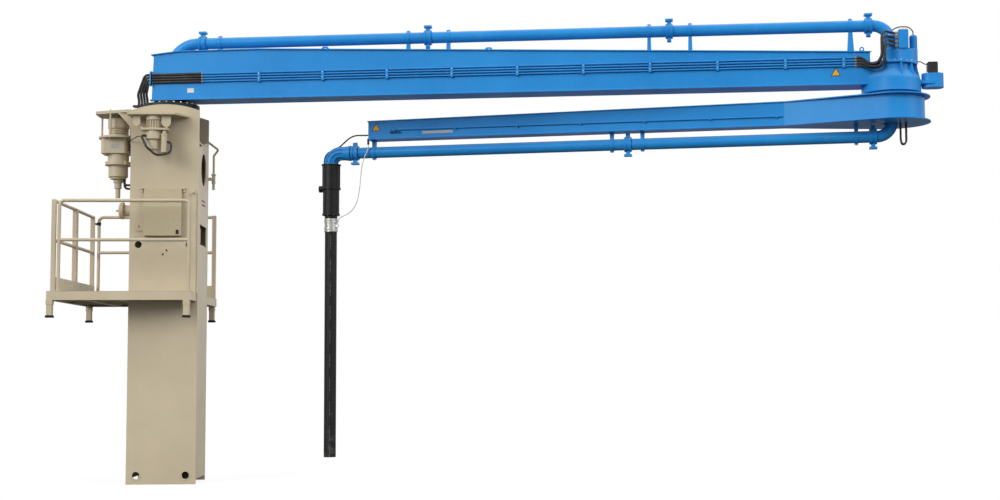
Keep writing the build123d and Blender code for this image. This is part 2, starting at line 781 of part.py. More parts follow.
with BuildPart() as leg_pads:
    with BuildSketch(Plane.XY.offset(leg_bottom)):
        with Locations(*leg_places):
            RectangleRounded(pad_width, pad_width, 14)
    extrude(amount=pad_height)
    chamfer(leg_pads.faces().sort_by(Axis.Z)[-4:].edges(), pad_edge)
leg_pads.part.label = "leg_pads"
export_step(leg_pads.part, "parts/leg_pads.step")

# Guard rails: bent tubes at the front and on the gate, square posts at the left and back
rail_z = floor_top + rail_height - rail_radius
knee_z = floor_top + knee_rail_height
post_width = 50.0
rail_inset = 32.0               # rails from the platform's edge
left_rail_x = platform_left + 62
front_rail_y = platform_front + rail_inset
back_rail_y = platform_back - rail_inset
front_tube_x = left_rail_x + 68
front_post_x = platform_right - 35
gate_hinge_x = half_width - 834.5
gate_width = 729.0
gate_latch_x = gate_hinge_x - gate_width
back_post_x = platform_right - 37
hinge_post_x = gate_hinge_x + 55
middle_post_y = platform_middle[1] + 70
left_posts = (platform_front + 58, middle_post_y - 26, middle_post_y + 26, platform_back - 35)
gate_bottom = floor_top + 60
hinge_plate = 10.0
latch_length = 31.0
latch_collar = 40.0
latch_under_bend = 29.0         # the latch's middle under the gate's bend
latch_height = rail_z - rail_bend - latch_under_bend
foot_size = 70.0
foot_thickness = 8.0
toe_board_height = 170.0
toe_board_thickness = 5.0

with BuildPart() as front_railing:
    with BuildLine(Plane.XZ.offset(-front_rail_y)) as front_frame:
        FilletPolyline(
            (front_tube_x, floor_top), (front_tube_x, rail_z), (front_post_x, rail_z), (front_post_x, floor_top),
            radius=rail_bend,
        )
    with BuildSketch(Plane(origin=front_frame.line @ 0, z_dir=front_frame.line % 0)):
        Circle(rail_radius)
    sweep(path=front_frame.line)
    with BuildSketch(Plane.YZ.offset(front_tube_x)):
        with Locations((front_rail_y, knee_z)):
            Circle(rail_radius - 1)
    extrude(amount=front_post_x - front_tube_x)
    with BuildSketch(Plane.XY.offset(floor_top)):
        with Locations((front_tube_x, front_rail_y), (front_post_x, front_rail_y)):
            Rectangle(foot_size, 2 * rail_inset)
    extrude(amount=foot_thickness)
front_railing.part.label = "front_railing"
export_step(front_railing.part, "parts/front_railing.step")

with BuildPart() as left_railing:
    with BuildSketch(Plane.XY.offset(floor_top)):
        with Locations(*[(left_rail_x, post_y) for post_y in left_posts]):
            Rectangle(post_width, post_width)
    extrude(amount=rail_height - 8)
    for height in (knee_z, rail_z):
        with BuildSketch(Plane.XZ.offset(-left_posts[0])):
            with Locations((left_rail_x, height)):
                Circle(rail_radius)
        extrude(amount=left_posts[0] - left_posts[-1])
left_railing.part.label = "left_railing"
export_step(left_railing.part, "parts/left_railing.step")

with BuildPart() as back_railing:
    with BuildSketch(Plane.XY.offset(floor_top)):
        with Locations((hinge_post_x, back_rail_y), (back_post_x, back_rail_y)):
            Rectangle(post_width, post_width)
    extrude(amount=rail_height + hinge_gap)
    for height in (knee_z, rail_z):
        with BuildSketch(Plane.YZ.offset(hinge_post_x)):
            with Locations((back_rail_y, height)):
                Circle(rail_radius)
        extrude(amount=back_post_x - hinge_post_x)
    # hinge plates under and over the gate's post
    for plate_bottom in (gate_bottom - hinge_gap - hinge_plate, rail_z + rail_radius + hinge_gap):
        with Locations((gate_hinge_x + 25, back_rail_y, plate_bottom)):
            Box(100, 44, hinge_plate, align=(Align.CENTER, Align.CENTER, Align.MIN))
back_railing.part.label = "back_railing"
export_step(back_railing.part, "parts/back_railing.step")

# The gate turns between the back railing's hinge plates
with BuildPart() as gate:
    with BuildLine(Plane.XZ.offset(-back_rail_y)) as gate_frame:
        FilletPolyline(
            (gate_latch_x, gate_bottom), (gate_latch_x, rail_z), (gate_hinge_x, rail_z), radius=rail_bend
        )
    with BuildSketch(Plane(origin=gate_frame.line @ 0, z_dir=gate_frame.line % 0)):
        Circle(rail_radius)
    sweep(path=gate_frame.line)
    with Locations((gate_hinge_x, back_rail_y, gate_bottom)):
        Cylinder(rail_radius + 1, rail_z + rail_radius - gate_bottom, align=(Align.CENTER, Align.CENTER, Align.MIN))
    with BuildSketch(Plane.YZ.offset(gate_latch_x)):
        with Locations((back_rail_y, knee_z)):
            Circle(rail_radius - 1)
    extrude(amount=gate_width)
gate.part.label = "gate"
export_step(gate.part, "parts/gate.step")

with BuildPart() as gate_latch:
    # collar round the gate's post, and a tongue towards the left railing
    with BuildSketch(Plane.XY.offset(latch_height - latch_collar / 2)):
        with Locations((gate_latch_x, back_rail_y)):
            Circle(rail_radius + 5)
    extrude(amount=latch_collar)
    with Locations((gate_latch_x - rail_radius + 3, back_rail_y, latch_height)):
        Box(latch_length, 16, 26, align=(Align.MAX, Align.CENTER, Align.CENTER))
    with BuildSketch(Plane.XY.offset(latch_height - latch_collar / 2)):
        with Locations((gate_latch_x, back_rail_y)):
            Circle(rail_radius + seat_gap)
    extrude(amount=latch_collar, mode=Mode.SUBTRACT)
gate_latch.part.label = "gate_latch"
export_step(gate_latch.part, "parts/gate_latch.step")

with BuildPart() as toe_boards:
    with BuildSketch(Plane.XY.offset(floor_top)):
        with Locations((left_rail_x + (post_width + toe_board_thickness) / 2, (left_posts[0] + left_posts[-1]) / 2)):
            Rectangle(toe_board_thickness, left_posts[-1] - left_posts[0] + post_width)
        with Locations(
            ((hinge_post_x + back_post_x) / 2, back_rail_y - (post_width + toe_board_thickness) / 2)
        ):
            Rectangle(back_post_x - hinge_post_x + post_width, toe_board_thickness)
    extrude(amount=toe_board_height)
toe_boards.part.label = "toe_boards"
export_step(toe_boards.part, "parts/toe_boards.step")

# Hanger bar from the floor up the cheek, with a hook plate at its top
hanger_left = half_width - 84.5
hanger_width = 62.0
hanger_thickness = 12.0
hanger_top = lid_top - 48
hook_size = (74.0, 62.0)
hook_pin_radius = 15.0
hook_pin_length = 46.0
with BuildPart() as hanger_bar:
    with BuildSketch(cheek_front):
        with Locations((hanger_left + hanger_width / 2, (floor_top + hanger_top) / 2)):
            Rectangle(hanger_width, hanger_top - floor_top)
        with Locations((hanger_left + hanger_width / 2 - 20, hanger_top)):
            RectangleRounded(hook_size[0], hook_size[1], 12)
    extrude(amount=hanger_thickness)
    with BuildSketch(cheek_front):
        with Locations((hanger_left + hanger_width / 2 - 20, hanger_top)):
            Circle(hook_pin_radius)
    extrude(amount=hook_pin_length)
hanger_bar.part.label = "hanger_bar"
export_step(hanger_bar.part, "parts/hanger_bar.step")

# ------------------------------------------------------------------ arm planes
boom = Plane(origin=(0, 0, 0), x_dir=(cos(radians(boom_azimuth)), sin(radians(boom_azimuth)), 0), z_dir=(0, 0, 1))
boom_side = Plane(origin=(0, 0, 0), x_dir=boom.x_dir, z_dir=-boom.y_dir)
elbow = boom.from_local_coords((arm_1_reach, 0, 0))
elbow_side = Plane(origin=elbow, x_dir=boom.x_dir, z_dir=-boom.y_dir)
elbow_axis = Axis(elbow, (0, 0, 1))
fold = Plane(origin=elbow, x_dir=(cos(radians(fold_azimuth)), sin(radians(fold_azimuth)), 0), z_dir=(0, 0, 1))
fold_side = Plane(origin=elbow, x_dir=fold.x_dir, z_dir=-fold.y_dir)


def across(arm, s):
    """Plane square to an arm at a distance along it: its x runs across the arm and its y up."""
    return Plane(origin=arm.from_local_coords((s, 0, 0)), x_dir=arm.y_dir, z_dir=arm.x_dir)


# ------------------------------------------------------------------ arm 1
arm_1_half = 165.0              # to the webs' outer faces
flange_lip = 20.0
arm_1_tail = -175.0
tail_slant = 20.0
nose_length = 30.0              # the top flange's slanted tip past the tail
nose_drop = 3.0
arm_1_end = arm_1_reach - 200
end_height = 369.0
# upper edge of arm 1's webs: (distance from the column's axis, height over the webs' lower edge)
crest_rows = ((arm_1_tail, 557.0), (150.0, 591.0), (1150.0, 595.0), (arm_1_reach - 270, 371.0), (arm_1_end, end_height))
arm_1_crest = [(s, arm_bottom + height) for s, height in crest_rows]
pipe_1_z = arm_bottom + 721
root_bend = 330.0
elbow_bend = 200.0
root_passage = 340.0
lug_stations = (1955.0, 3990.0)
lug_foot = 80.0
lug_top = 28.0
lug_height = 62.0
lug_half = 8.0
eye_station = arm_1_reach - 350
hose_shelf = 22.0               # plate behind the turntable where the root hoses land
hose_shelf_top = housing_top + 55
turntable_neck = 200.0
shelf_s = -320.0
shelf_y = -110.0

# Elbow housing from its top flange down: (radius, height over the bearing); a ring, a cone and a neck
housing_ring = 345.0
housing_neck = 262.0
housing_cap = 306.0
housing_levels = ((housing_ring, 0.0), (housing_ring, 145.0), (335.0, 170.0), (housing_neck, 262.0),
                  (housing_neck, 332.0), (housing_cap, 332.0), (housing_cap, 355.0))
housing_outline = [(radius, elbow_bottom + height) for radius, height in housing_levels]
elbow_deck = housing_outline[-1][1]


def crest_at(s):
    """Height of arm 1's upper edge at a distance from the column's axis."""
    for (s0, z0), (s1, z1) in zip(arm_1_crest, arm_1_crest[1:]):
        if s0 <= s <= s1:
            return z0 + (z1 - z0) * (s - s0) / (s1 - s0)


with BuildPart() as turntable:
    # shelf behind the tail
    with BuildSketch(boom.offset(hose_shelf_top - hose_shelf)):
        with Locations((shelf_s, shelf_y)):
            RectangleRounded(250, 90, 20)
    extrude(amount=hose_shelf)
    with BuildSketch(Plane.XY.offset(housing_top + bearing_gap)):
        Circle(housing_radius)
    extrude(amount=hose_shelf_top - housing_top - bearing_gap)
    with BuildSketch(Plane.XY.offset(hose_shelf_top)):
        Circle(turntable_neck)
    extrude(amount=arm_bottom - flange - hose_shelf_top)
    with BuildSketch(Plane.XY.offset(housing_top)):
        Circle(pipe_radius + port_clearance)
    extrude(amount=arm_bottom - housing_top, mode=Mode.SUBTRACT)
turntable.part.label = "turntable"
export_step(turntable.part, "parts/turntable.step")

with BuildPart() as elbow_housing:
    with BuildSketch(elbow_side):
        with BuildLine():
            Polyline(
                (pipe_radius + port_clearance, elbow_bottom),
                *housing_outline,
                (pipe_radius + port_clearance, elbow_deck),
                close=True,
            )
        make_face()
    revolve(axis=elbow_axis)
elbow_housing.part.label = "elbow_housing"
export_step(elbow_housing.part, "parts/elbow_housing.step")

with BuildPart() as arm_1_box:
    # webs and end plate
    with BuildSketch(boom_side):
        with BuildLine():
            Polyline((arm_1_tail - tail_slant, arm_bottom), *arm_1_crest, (arm_1_end, arm_bottom), close=True)
        make_face()
    extrude(amount=arm_1_half, both=True)
    with BuildSketch(boom_side):
        with BuildLine():
            Polyline(
                (arm_1_tail - tail_slant + arm_wall, arm_bottom - flange),
                (arm_1_tail + arm_wall, arm_1_crest[0][1] + flange),
                *[(s, z + flange) for s, z in arm_1_crest[1:]],
                (arm_1_end, arm_bottom - flange),
                close=True,
            )
        make_face()
    extrude(amount=arm_1_half - arm_wall, both=True, mode=Mode.SUBTRACT)
    # bottom flange, past the tail's foot
    with BuildSketch(boom_side):
        with BuildLine():
            Polyline(
                (arm_1_tail - 2 * tail_slant, arm_bottom - flange),
                (arm_1_tail - 2 * tail_slant, arm_bottom),
                (arm_1_end, arm_bottom),
                (arm_1_end, arm_bottom - flange),
                close=True,
            )
        make_face()
    extrude(amount=arm_1_half + flange_lip, both=True)
    # top flange follows the crest, with a slanted tip
    nose = (arm_1_tail - nose_length, arm_1_crest[0][1] - nose_drop)
    with BuildSketch(boom_side):
        with BuildLine():
            Polyline(
                nose,
                *arm_1_crest[1:],
                *[(s, z + flange) for s, z in reversed(arm_1_crest[1:])],
                (nose[0], nose[1] + flange),
                close=True,
            )
        make_face()
    extrude(amount=arm_1_half + flange_lip, both=True)
    # lifting lugs, and a small eye near the elbow
    for lug_s in lug_stations:
        with BuildSketch(boom_side):
            with BuildLine():
                Polyline(
                    (lug_s - lug_foot, crest_at(lug_s - lug_foot) + flange),
                    (lug_s + lug_foot, crest_at(lug_s + lug_foot) + flange),
                    (lug_s + lug_top, crest_at(lug_s) + flange + lug_height),
                    (lug_s - lug_top, crest_at(lug_s) + flange + lug_height),
                    close=True,
                )
            make_face()
            with Locations((lug_s, crest_at(lug_s) + flange + lug_height / 2)):
                Circle(lug_height / 4, mode=Mode.SUBTRACT)
        extrude(amount=lug_half, both=True)
    with BuildSketch(boom_side.offset(arm_1_half - lug_top)):
        with Locations((eye_station, crest_at(eye_station) + flange + lug_top / 2)):
            Rectangle(2 * lug_top, 1.6 * lug_top)
        with Locations((eye_station, crest_at(eye_station) + flange + lug_top)):
            Circle(lug_top)
            Circle(lug_top / 2, mode=Mode.SUBTRACT)
    extrude(amount=lug_half)
    # the delivery pipe's passage at the root
    with BuildSketch(boom.offset(arm_bottom - 2 * flange)):
        with Locations((60, 0)):
            SlotOverall(root_passage, 2 * (pipe_radius + port_clearance))
    extrude(amount=pipe_1_z - arm_bottom, mode=Mode.SUBTRACT)
    # the seat of the elbow housing
    with BuildSketch(elbow_side):
        with BuildLine():
            Polyline(
                (0, elbow_bottom - seat_gap),
                (housing_ring + seat_gap, elbow_bottom - seat_gap),
                *[(radius + seat_gap, z + seat_gap) for radius, z in housing_outline[1:4]],
                *[(radius + seat_gap, z - seat_gap) for radius, z in housing_outline[4:6]],
                (housing_cap + seat_gap, pipe_1_z),
                (0, pipe_1_z),
                close=True,
            )
        make_face()
    revolve(axis=elbow_axis, mode=Mode.SUBTRACT)
arm_1_box.part.label = "arm_1_box"
export_step(arm_1_box.part, "parts/arm_1_box.step")

# Delivery line along arm 1, and the space that it takes with its clearance
pipe_1_points = [
    (0, housing_top + bearing_gap),
    (0, pipe_1_z),
    (arm_1_reach, pipe_1_z),
    (arm_1_reach, elbow_bottom + bearing_gap),
]
with BuildPart() as delivery_pipe_1:
    with BuildLine(boom_side) as pipe_1_path:
        FilletPolyline(*pipe_1_points, radius=[root_bend, elbow_bend])
    with BuildSketch(Plane(origin=pipe_1_path.line @ 0, z_dir=pipe_1_path.line % 0)):
        Circle(pipe_radius)
        Circle(pipe_bore, mode=Mode.SUBTRACT)
    sweep(path=pipe_1_path.line)
delivery_pipe_1.part.label = "delivery_pipe_1"
export_step(delivery_pipe_1.part, "parts/delivery_pipe_1.step")

with BuildPart() as elbow_bend_space:
    with BuildLine(boom_side) as bend_path:
        FilletPolyline(
            (arm_1_reach - 2 * elbow_bend, pipe_1_z),
            (arm_1_reach, pipe_1_z),
            (arm_1_reach, elbow_deck - flange),
            radius=elbow_bend,
        )
    with BuildSketch(Plane(origin=bend_path.line @ 0, z_dir=bend_path.line % 0)):
        Circle(pipe_radius + seat_gap)
    sweep(path=bend_path.line)

# Snap couplings: a grooved ring with a T lever on one side and a hinge lug on the other
coupling_radius = 92.0
coupling_length = 87.0
coupling_groove = 37.0
groove_depth = 8.0
lever_bar = (84.0, 92.0, 25.0)  # across, along, thickness
lever_neck = (46.0, 30.0)       # across and along, height
hinge_lug = (56.0, 50.0)        # across, along


def snap_coupling(arm, s, z, lug_height, upwards):
    """A coupling round the line; its lever points up or down, and its hinge lug the other way."""
    side = 1 if upwards else -1
    neck_top = coupling_radius + lever_neck[1]
    with BuildPart() as made:
        with BuildSketch(across(arm, s)):
            with Locations((0, z)):
                Circle(coupling_radius)
        extrude(amount=coupling_length / 2, both=True)
        with BuildSketch(across(arm, s)):
            with Locations((0, z)):
                Circle(coupling_radius + 1)
                Circle(coupling_radius - groove_depth, mode=Mode.SUBTRACT)
        extrude(amount=coupling_groove / 2, both=True, mode=Mode.SUBTRACT)
        with BuildSketch(across(arm, s)):
            with Locations((0, z + side * (neck_top + lever_bar[2] / 2))):
                Rectangle(lever_bar[0], lever_bar[2])
        extrude(amount=lever_bar[1] / 2, both=True)
        with BuildSketch(across(arm, s)):
            with Locations((0, z + side * (neck_top - 10) / 2)):
                Rectangle(lever_neck[0], neck_top + 10)
            with Locations((0, z - side * (coupling_radius + lug_height - hinge_lug[0] / 2) / 2)):
                Rectangle(hinge_lug[0], coupling_radius + lug_height - hinge_lug[0] / 2)
            with Locations((0, z - side * (coupling_radius + lug_height - hinge_lug[0] / 2))):
                Circle(hinge_lug[0] / 2)
        extrude(amount=hinge_lug[1] / 2, both=True)
        with BuildSketch(across(arm, s)):
            with Locations((0, z)):
                Circle(pipe_radius + seat_gap)
        extrude(amount=coupling_length, both=True, mode=Mode.SUBTRACT)
    return made.part


lug_heights = (20.0, 45.0)      # over the arm's root, and elsewhere
coupling_1_rows = (
    (400.0, lug_heights[0]), (3240.0, lug_heights[1]), (6183.0, lug_heights[1]), (arm_1_reach - 252, lug_heights[1])
)
with BuildPart() as pipe_1_couplings:
    for station, lug_height in coupling_1_rows:
        add(snap_coupling(boom, station, pipe_1_z, lug_height, True))
pipe_1_couplings.part.label = "pipe_1_couplings"
export_step(pipe_1_couplings.part, "parts/pipe_1_couplings.step")

# Posts that carry the line: half lengths at the foot and under the pipe, and half breadth
post_top_half = 19.0
post_half_breadth = 26.0
strap_half = 22.0
strap_thickness = 7.0
post_foot = 10.0
support_1_rows = ((620.0, 26.0), (2997.0, 26.0), (3494.0, 26.0), (5942.0, 26.0), (6434.0, 26.0),
                  (arm_1_reach - 462, 40.0))     # station, half length at the foot


def line_post(arm, arm_side, s, foot_half, low, high, pipe_z):
    """A tapered post with a foot plate and a strap round the line; low and high are its foot's ends."""
    side = 1 if pipe_z > low else -1
    with BuildPart() as made:
        with BuildSketch(arm_side):
            with BuildLine():
                Polyline(
                    (s - foot_half, low),
                    (s + foot_half, high),
                    (s + post_top_half, pipe_z),
                    (s - post_top_half, pipe_z),
                    close=True,
                )
            make_face()
        extrude(amount=post_half_breadth, both=True)
        with BuildSketch(arm_side):
            with BuildLine():
                Polyline(
                    (s - foot_half, low),
                    (s + foot_half, high),
                    (s + foot_half, high + side * post_foot),
                    (s - foot_half, low + side * post_foot),
                    close=True,
                )
            make_face()
        extrude(amount=2 * post_half_breadth, both=True)
        with BuildSketch(across(arm, s)):
            with Locations((0, pipe_z)):
                Circle(pipe_radius + strap_thickness)
                with Locations((0, side * (pipe_radius + strap_thickness)), (0, -side * (pipe_radius + strap_thickness))):
                    RectangleRounded(30, 24, 4)
        extrude(amount=strap_half, both=True)
        with BuildSketch(across(arm, s)):
            with Locations((0, pipe_z)):
                Circle(pipe_radius + seat_gap)
        extrude(amount=2 * foot_half, both=True, mode=Mode.SUBTRACT)
    return made.part


with BuildPart() as pipe_1_supports:
    for station, foot_half in support_1_rows:
        low = crest_at(station - foot_half) + flange
        high = crest_at(station + foot_half) + flange
        add(line_post(boom, boom_side, station, foot_half, low, high, pipe_1_z))
pipe_1_supports.part.label = "pipe_1_supports"
export_step(pipe_1_supports.part, "parts/pipe_1_supports.step")

# Hydraulic tubes along the front web, held by clamps
tube_radius = 9.0
tube_count = 4
tube_pitch = 32.0
tube_heights = [arm_bottom + 211 + tube_pitch * row for row in range(tube_count)]
tube_start = 440.0
tube_end = arm_1_reach - 420
tube_standoff = 17.0
tube_y = -arm_1_half - tube_standoff
clamp_pitch = 797.0
first_clamp = 1168.0
last_clamp_inset = 149.0
clamp_length = 34.0
clamp_depth = 30.0
clamp_margin = 20.0
clamp_count = int((tube_end - last_clamp_inset - first_clamp) / clamp_pitch) + 1
clamp_stations = [first_clamp + clamp_pitch * row for row in range(clamp_count)] + [tube_end - last_clamp_inset]
clamp_height = tube_pitch * (tube_count - 1) + 2 * clamp_margin

with BuildPart(boom) as hydraulic_tubes:
    with BuildSketch(across(boom, tube_start)):
        with Locations(*[(tube_y, height) for height in tube_heights]):
            Circle(tube_radius)
    extrude(amount=tube_end - tube_start)
    with Locations(*[(s, -arm_1_half, (tube_heights[0] + tube_heights[-1]) / 2) for s in clamp_stations]):
        Box(clamp_length, clamp_depth, clamp_height, align=(Align.CENTER, Align.MAX, Align.CENTER))
hydraulic_tubes.part.label = "hydraulic_tubes"
export_step(hydraulic_tubes.part, "parts/hydraulic_tubes.step")

# Hoses at the root: from the tubes past the tail and down onto the turntable's shelf
root_hose_radius = 15.5
landing_first = -268.0
landing_pitch = 36.0
with BuildPart() as root_hoses:
    for row, height in enumerate(tube_heights):
        landing = landing_first - landing_pitch * row
        corner = arm_1_tail - 55 - 16 * row
        add(hose(
            [
                boom.from_local_coords(point)
                for point in (
                    (tube_start, tube_y, height),
                    (corner, tube_y, height),
                    (landing - 4, shelf_y - 30, arm_bottom + 75),
                    (landing, shelf_y, arm_bottom + 5),
                    (landing, shelf_y, hose_shelf_top),
                )
            ],
            [48 + 6 * row, 120, 50], root_hose_radius,
        ))
root_hoses.part.label = "root_hoses"
export_step(root_hoses.part, "parts/root_hoses.step")

# Loop of flat bar round the root hoses at the tail
guide_s = arm_1_tail - 34
guide_bar = 14.0
guide_inner = (2 * root_hose_radius + 12, clamp_height + 24)
with BuildPart() as hose_guide:
    guide_z = (tube_heights[0] + tube_heights[-1]) / 2
    with BuildSketch(across(boom, guide_s)):
        with Locations((tube_y, guide_z)):
            RectangleRounded(guide_inner[0] + 2 * guide_bar, guide_inner[1] + 2 * guide_bar, 30)
            RectangleRounded(guide_inner[0], guide_inner[1], 18, mode=Mode.SUBTRACT)
    extrude(amount=guide_bar)
    # stay to the tail plate
    with BuildSketch(boom.offset(guide_z + guide_inner[1] / 2)):
        with BuildLine():
            Polyline(
                (guide_s, tube_y),
                (guide_s + guide_bar, tube_y),
                (arm_1_tail, guide_bar - arm_1_half),
                (arm_1_tail, 2 * guide_bar - arm_1_half),
                (guide_s, 2 * guide_bar - arm_1_half),
                close=True,
            )
        make_face()
    extrude(amount=guide_bar)
    add(arm_1_box.part, mode=Mode.SUBTRACT)
hose_guide.part.label = "hose_guide"
export_step(hose_guide.part, "parts/hose_guide.step")

# ------------------------------------------------------------------ elbow drive
gear_s = arm_1_reach + 145
gear_radius = 170.0
gear_height = 160.0
gear_top = elbow_deck + gear_height
block_s = arm_1_reach + 130
block_y = -150.0
block_size = (110.0, 70.0, 220.0)
motor_s = arm_1_reach + 268
motor_radius = 46.0
motor_height = 188.0
motor_dome = 30.0
collar_radius = 90.0
collar_flange_radius = 108.0
collar_stages = ((collar_flange_radius, 26.0), (collar_radius, 34.0), (104.0, 18.0), (collar_radius, 32.0),
                 (collar_flange_radius, 26.0), (98.0, 39.0))
collar_bottom = gear_top
collar_top = collar_bottom + depth_of(collar_stages)

with BuildPart(boom) as elbow_drive:
    with BuildSketch(boom.offset(elbow_deck)):
        with Locations((gear_s, 0)):
            Circle(gear_radius)
        with Locations((arm_1_reach + 40, 0)):
            RectangleRounded(240, 230, 30)
        with Locations((arm_1_reach, 0)):
            Circle(pipe_radius + seat_gap, mode=Mode.SUBTRACT)
    extrude(amount=gear_height)
    with Locations((block_s, block_y, gear_top)):
        Box(*block_size, align=(Align.CENTER, Align.CENTER, Align.MIN))
    with Locations((motor_s, 0, gear_top)):
        Cylinder(motor_radius, motor_height, align=(Align.CENTER, Align.CENTER, Align.MIN))
    fillet(elbow_drive.edges().filter_by(GeomType.CIRCLE).sort_by(Axis.Z)[-1], motor_dome)
elbow_drive.part.label = "elbow_drive"
export_step(elbow_drive.part, "parts/elbow_drive.step")

with BuildPart() as elbow_collar:
    with BuildSketch(elbow_side):
        with BuildLine():
            Polyline(*stage_outline(collar_top, collar_stages), close=True)
        make_face()
    revolve(axis=elbow_axis)
    add(elbow_bend_space.part, mode=Mode.SUBTRACT)
elbow_collar.part.label = "elbow_collar"
export_step(elbow_collar.part, "parts/elbow_collar.step")

# Upright gussets between the cap and the ring of the elbow housing
gusset_count = 6
gusset_step = 26.0
gusset_plate = 14.0
with BuildPart() as elbow_gussets:
    for turn in range(gusset_count):
        heading = boom_azimuth - 75 + turn * 30
        gusset_side = Plane(
            origin=elbow,
            x_dir=(cos(radians(heading)), sin(radians(heading)), 0),
            z_dir=(sin(radians(heading)), -cos(radians(heading)), 0),
        )
        with BuildSketch(gusset_side):
            with BuildLine():
                Polyline(
                    (housing_neck + seat_gap, housing_outline[3][1] + seat_gap),
                    (housing_neck + seat_gap, housing_outline[4][1] - seat_gap),
                    (housing_cap - 6, housing_outline[4][1] - seat_gap),
                    (housing_cap + gusset_step - 20, housing_outline[3][1]),
                    (housing_outline[2][0] + seat_gap, housing_outline[2][1] + seat_gap),
                    close=True,
                )
            make_face()
        extrude(amount=gusset_plate / 2, both=True)
elbow_gussets.part.label = "elbow_gussets"
export_step(elbow_gussets.part, "parts/elbow_gussets.step")

# Bracket and gear case at the elbow's far side, with the electric motor
case_s = arm_1_reach + 480
case_size = (250.0, 190.0, 84.0)
case_bottom = elbow_bottom + 62
case_height = 168.0
bracket_bottom = elbow_bottom + 100
bracket_thickness = 35.0
bracket_half = 110.0
pot_motor = 118.0
pot_motor_height = 140.0
with BuildPart() as elbow_bracket:
    with BuildSketch(boom.offset(case_bottom)):
        with Locations((case_s, 0)):
            RectangleRounded(*case_size)
    extrude(amount=case_height)
    with BuildSketch(boom.offset(bracket_bottom)):
        with Locations(((arm_1_reach + case_s) / 2, 0)):
            Rectangle(case_s - arm_1_reach, 2 * bracket_half)
    extrude(amount=bracket_thickness)
    with BuildSketch(boom.offset(bracket_bottom)):
        with Locations((arm_1_reach, 0)):
            Circle(housing_ring + seat_gap)
    extrude(amount=bracket_thickness, mode=Mode.SUBTRACT)
elbow_bracket.part.label = "elbow_bracket"
export_step(elbow_bracket.part, "parts/elbow_bracket.step")

with BuildPart(boom) as elbow_motor:
    with Locations((case_s, 0, case_bottom + case_height)):
        Box(pot_motor, pot_motor, pot_motor_height, align=(Align.CENTER, Align.CENTER, Align.MIN))
    fillet(elbow_motor.edges().filter_by(Axis.Z), 14)
    chamfer(elbow_motor.faces().sort_by(Axis.Z)[-1].edges(), 8)
elbow_motor.part.label = "elbow_motor"
export_step(elbow_motor.part, "parts/elbow_motor.step")

# Hoses from the tubes' ends out, down and round the housing's cap, then up to the valve block
elbow_hose_radius = 14.0
elbow_lead_radius = 7.0
hose_plane_y = -housing_cap - 6     # two upright planes in front of the housing, two hoses in each
hose_plane_pitch = 33.0
hose_nest_pitch = 34.0
rise_from_axis = 105.0
hose_sag = arm_bottom + 157
port_pitch = 50.0
lowest_port = gear_top + 36
block_left = block_s - block_size[0] / 2
thin_lead_radius = 6.0
with BuildPart() as elbow_hoses:
    for row, height in enumerate(tube_heights):
        nest, side = divmod(row, 2)
        plane_y = hose_plane_y - hose_plane_pitch * side
        sag = hose_sag + hose_nest_pitch * nest + 8 * side
        rise_s = arm_1_reach - rise_from_axis - hose_nest_pitch * nest - 10 * side
        port = lowest_port + port_pitch * row
        route = [
            boom.from_local_coords(point)
            for point in (
                (tube_end, tube_y, height),
                (tube_end + 50, tube_y, height),
                (arm_1_reach - 285, plane_y + 30, sag + 10),
                (rise_s - 60, plane_y, sag),
                (rise_s, plane_y, sag + 90),
                (rise_s, plane_y, port),
                (block_left - 62, block_y, port),
                (block_left, block_y, port),
            )
        ]
        add(hose(route, bend_radii(route), elbow_hose_radius))
    # lead over the line's bend to the motor's top
    route = [
        boom.from_local_coords(point)
        for point in (
            (arm_1_reach + 20, collar_radius, collar_top),
            (arm_1_reach + 20, collar_radius, collar_top + 90),
            (arm_1_reach + 110, collar_radius - 30, collar_top + 132),
            (motor_s - 50, 14, collar_top + 116),
            (motor_s, 0, collar_top + 60),
            (motor_s, 0, gear_top + motor_height),
        )
    ]
    add(hose(route, bend_radii(route), elbow_lead_radius))
    # thin lead from the gear drum to the electric motor
    route = [
        boom.from_local_coords(point)
        for point in (
            (gear_s + gear_radius, 0, elbow_deck + 26),
            (gear_s + gear_radius + 32, 0, elbow_deck + 26),
            (case_s - pot_motor / 2 - 28, 0, elbow_deck - 5),
            (case_s - pot_motor / 2, 0, elbow_deck - 5),
        )
    ]
    add(hose(route, bend_radii(route), thin_lead_radius))
elbow_hoses.part.label = "elbow_hoses"
export_step(elbow_hoses.part, "parts/elbow_hoses.step")

# ------------------------------------------------------------------ arm 2
arm_2_tip_top = arm_2_top - 71      # the webs' upper edge at the far end
arm_2_bottom = arm_2_top - 282
arm_2_end = arm_2_reach - 517
arm_2_half = 105.0
arm_2_lip = 15.0
end_lip = 10.0
root_radius = 380.0
root_lip = 65.0
neck_s = 1250.0                 # where the flare from the root drum ends
pipe_2_z = arm_2_bottom - 164
pipe_2_end = arm_2_reach - 262
lower_bend = 175.0
lower_passage = 182.0           # slot in the underside for the bend
ring_radius = 300.0
overcut = 1.0                   # cuts run past faces by this
flange_base = arm_2_tip_top - 60


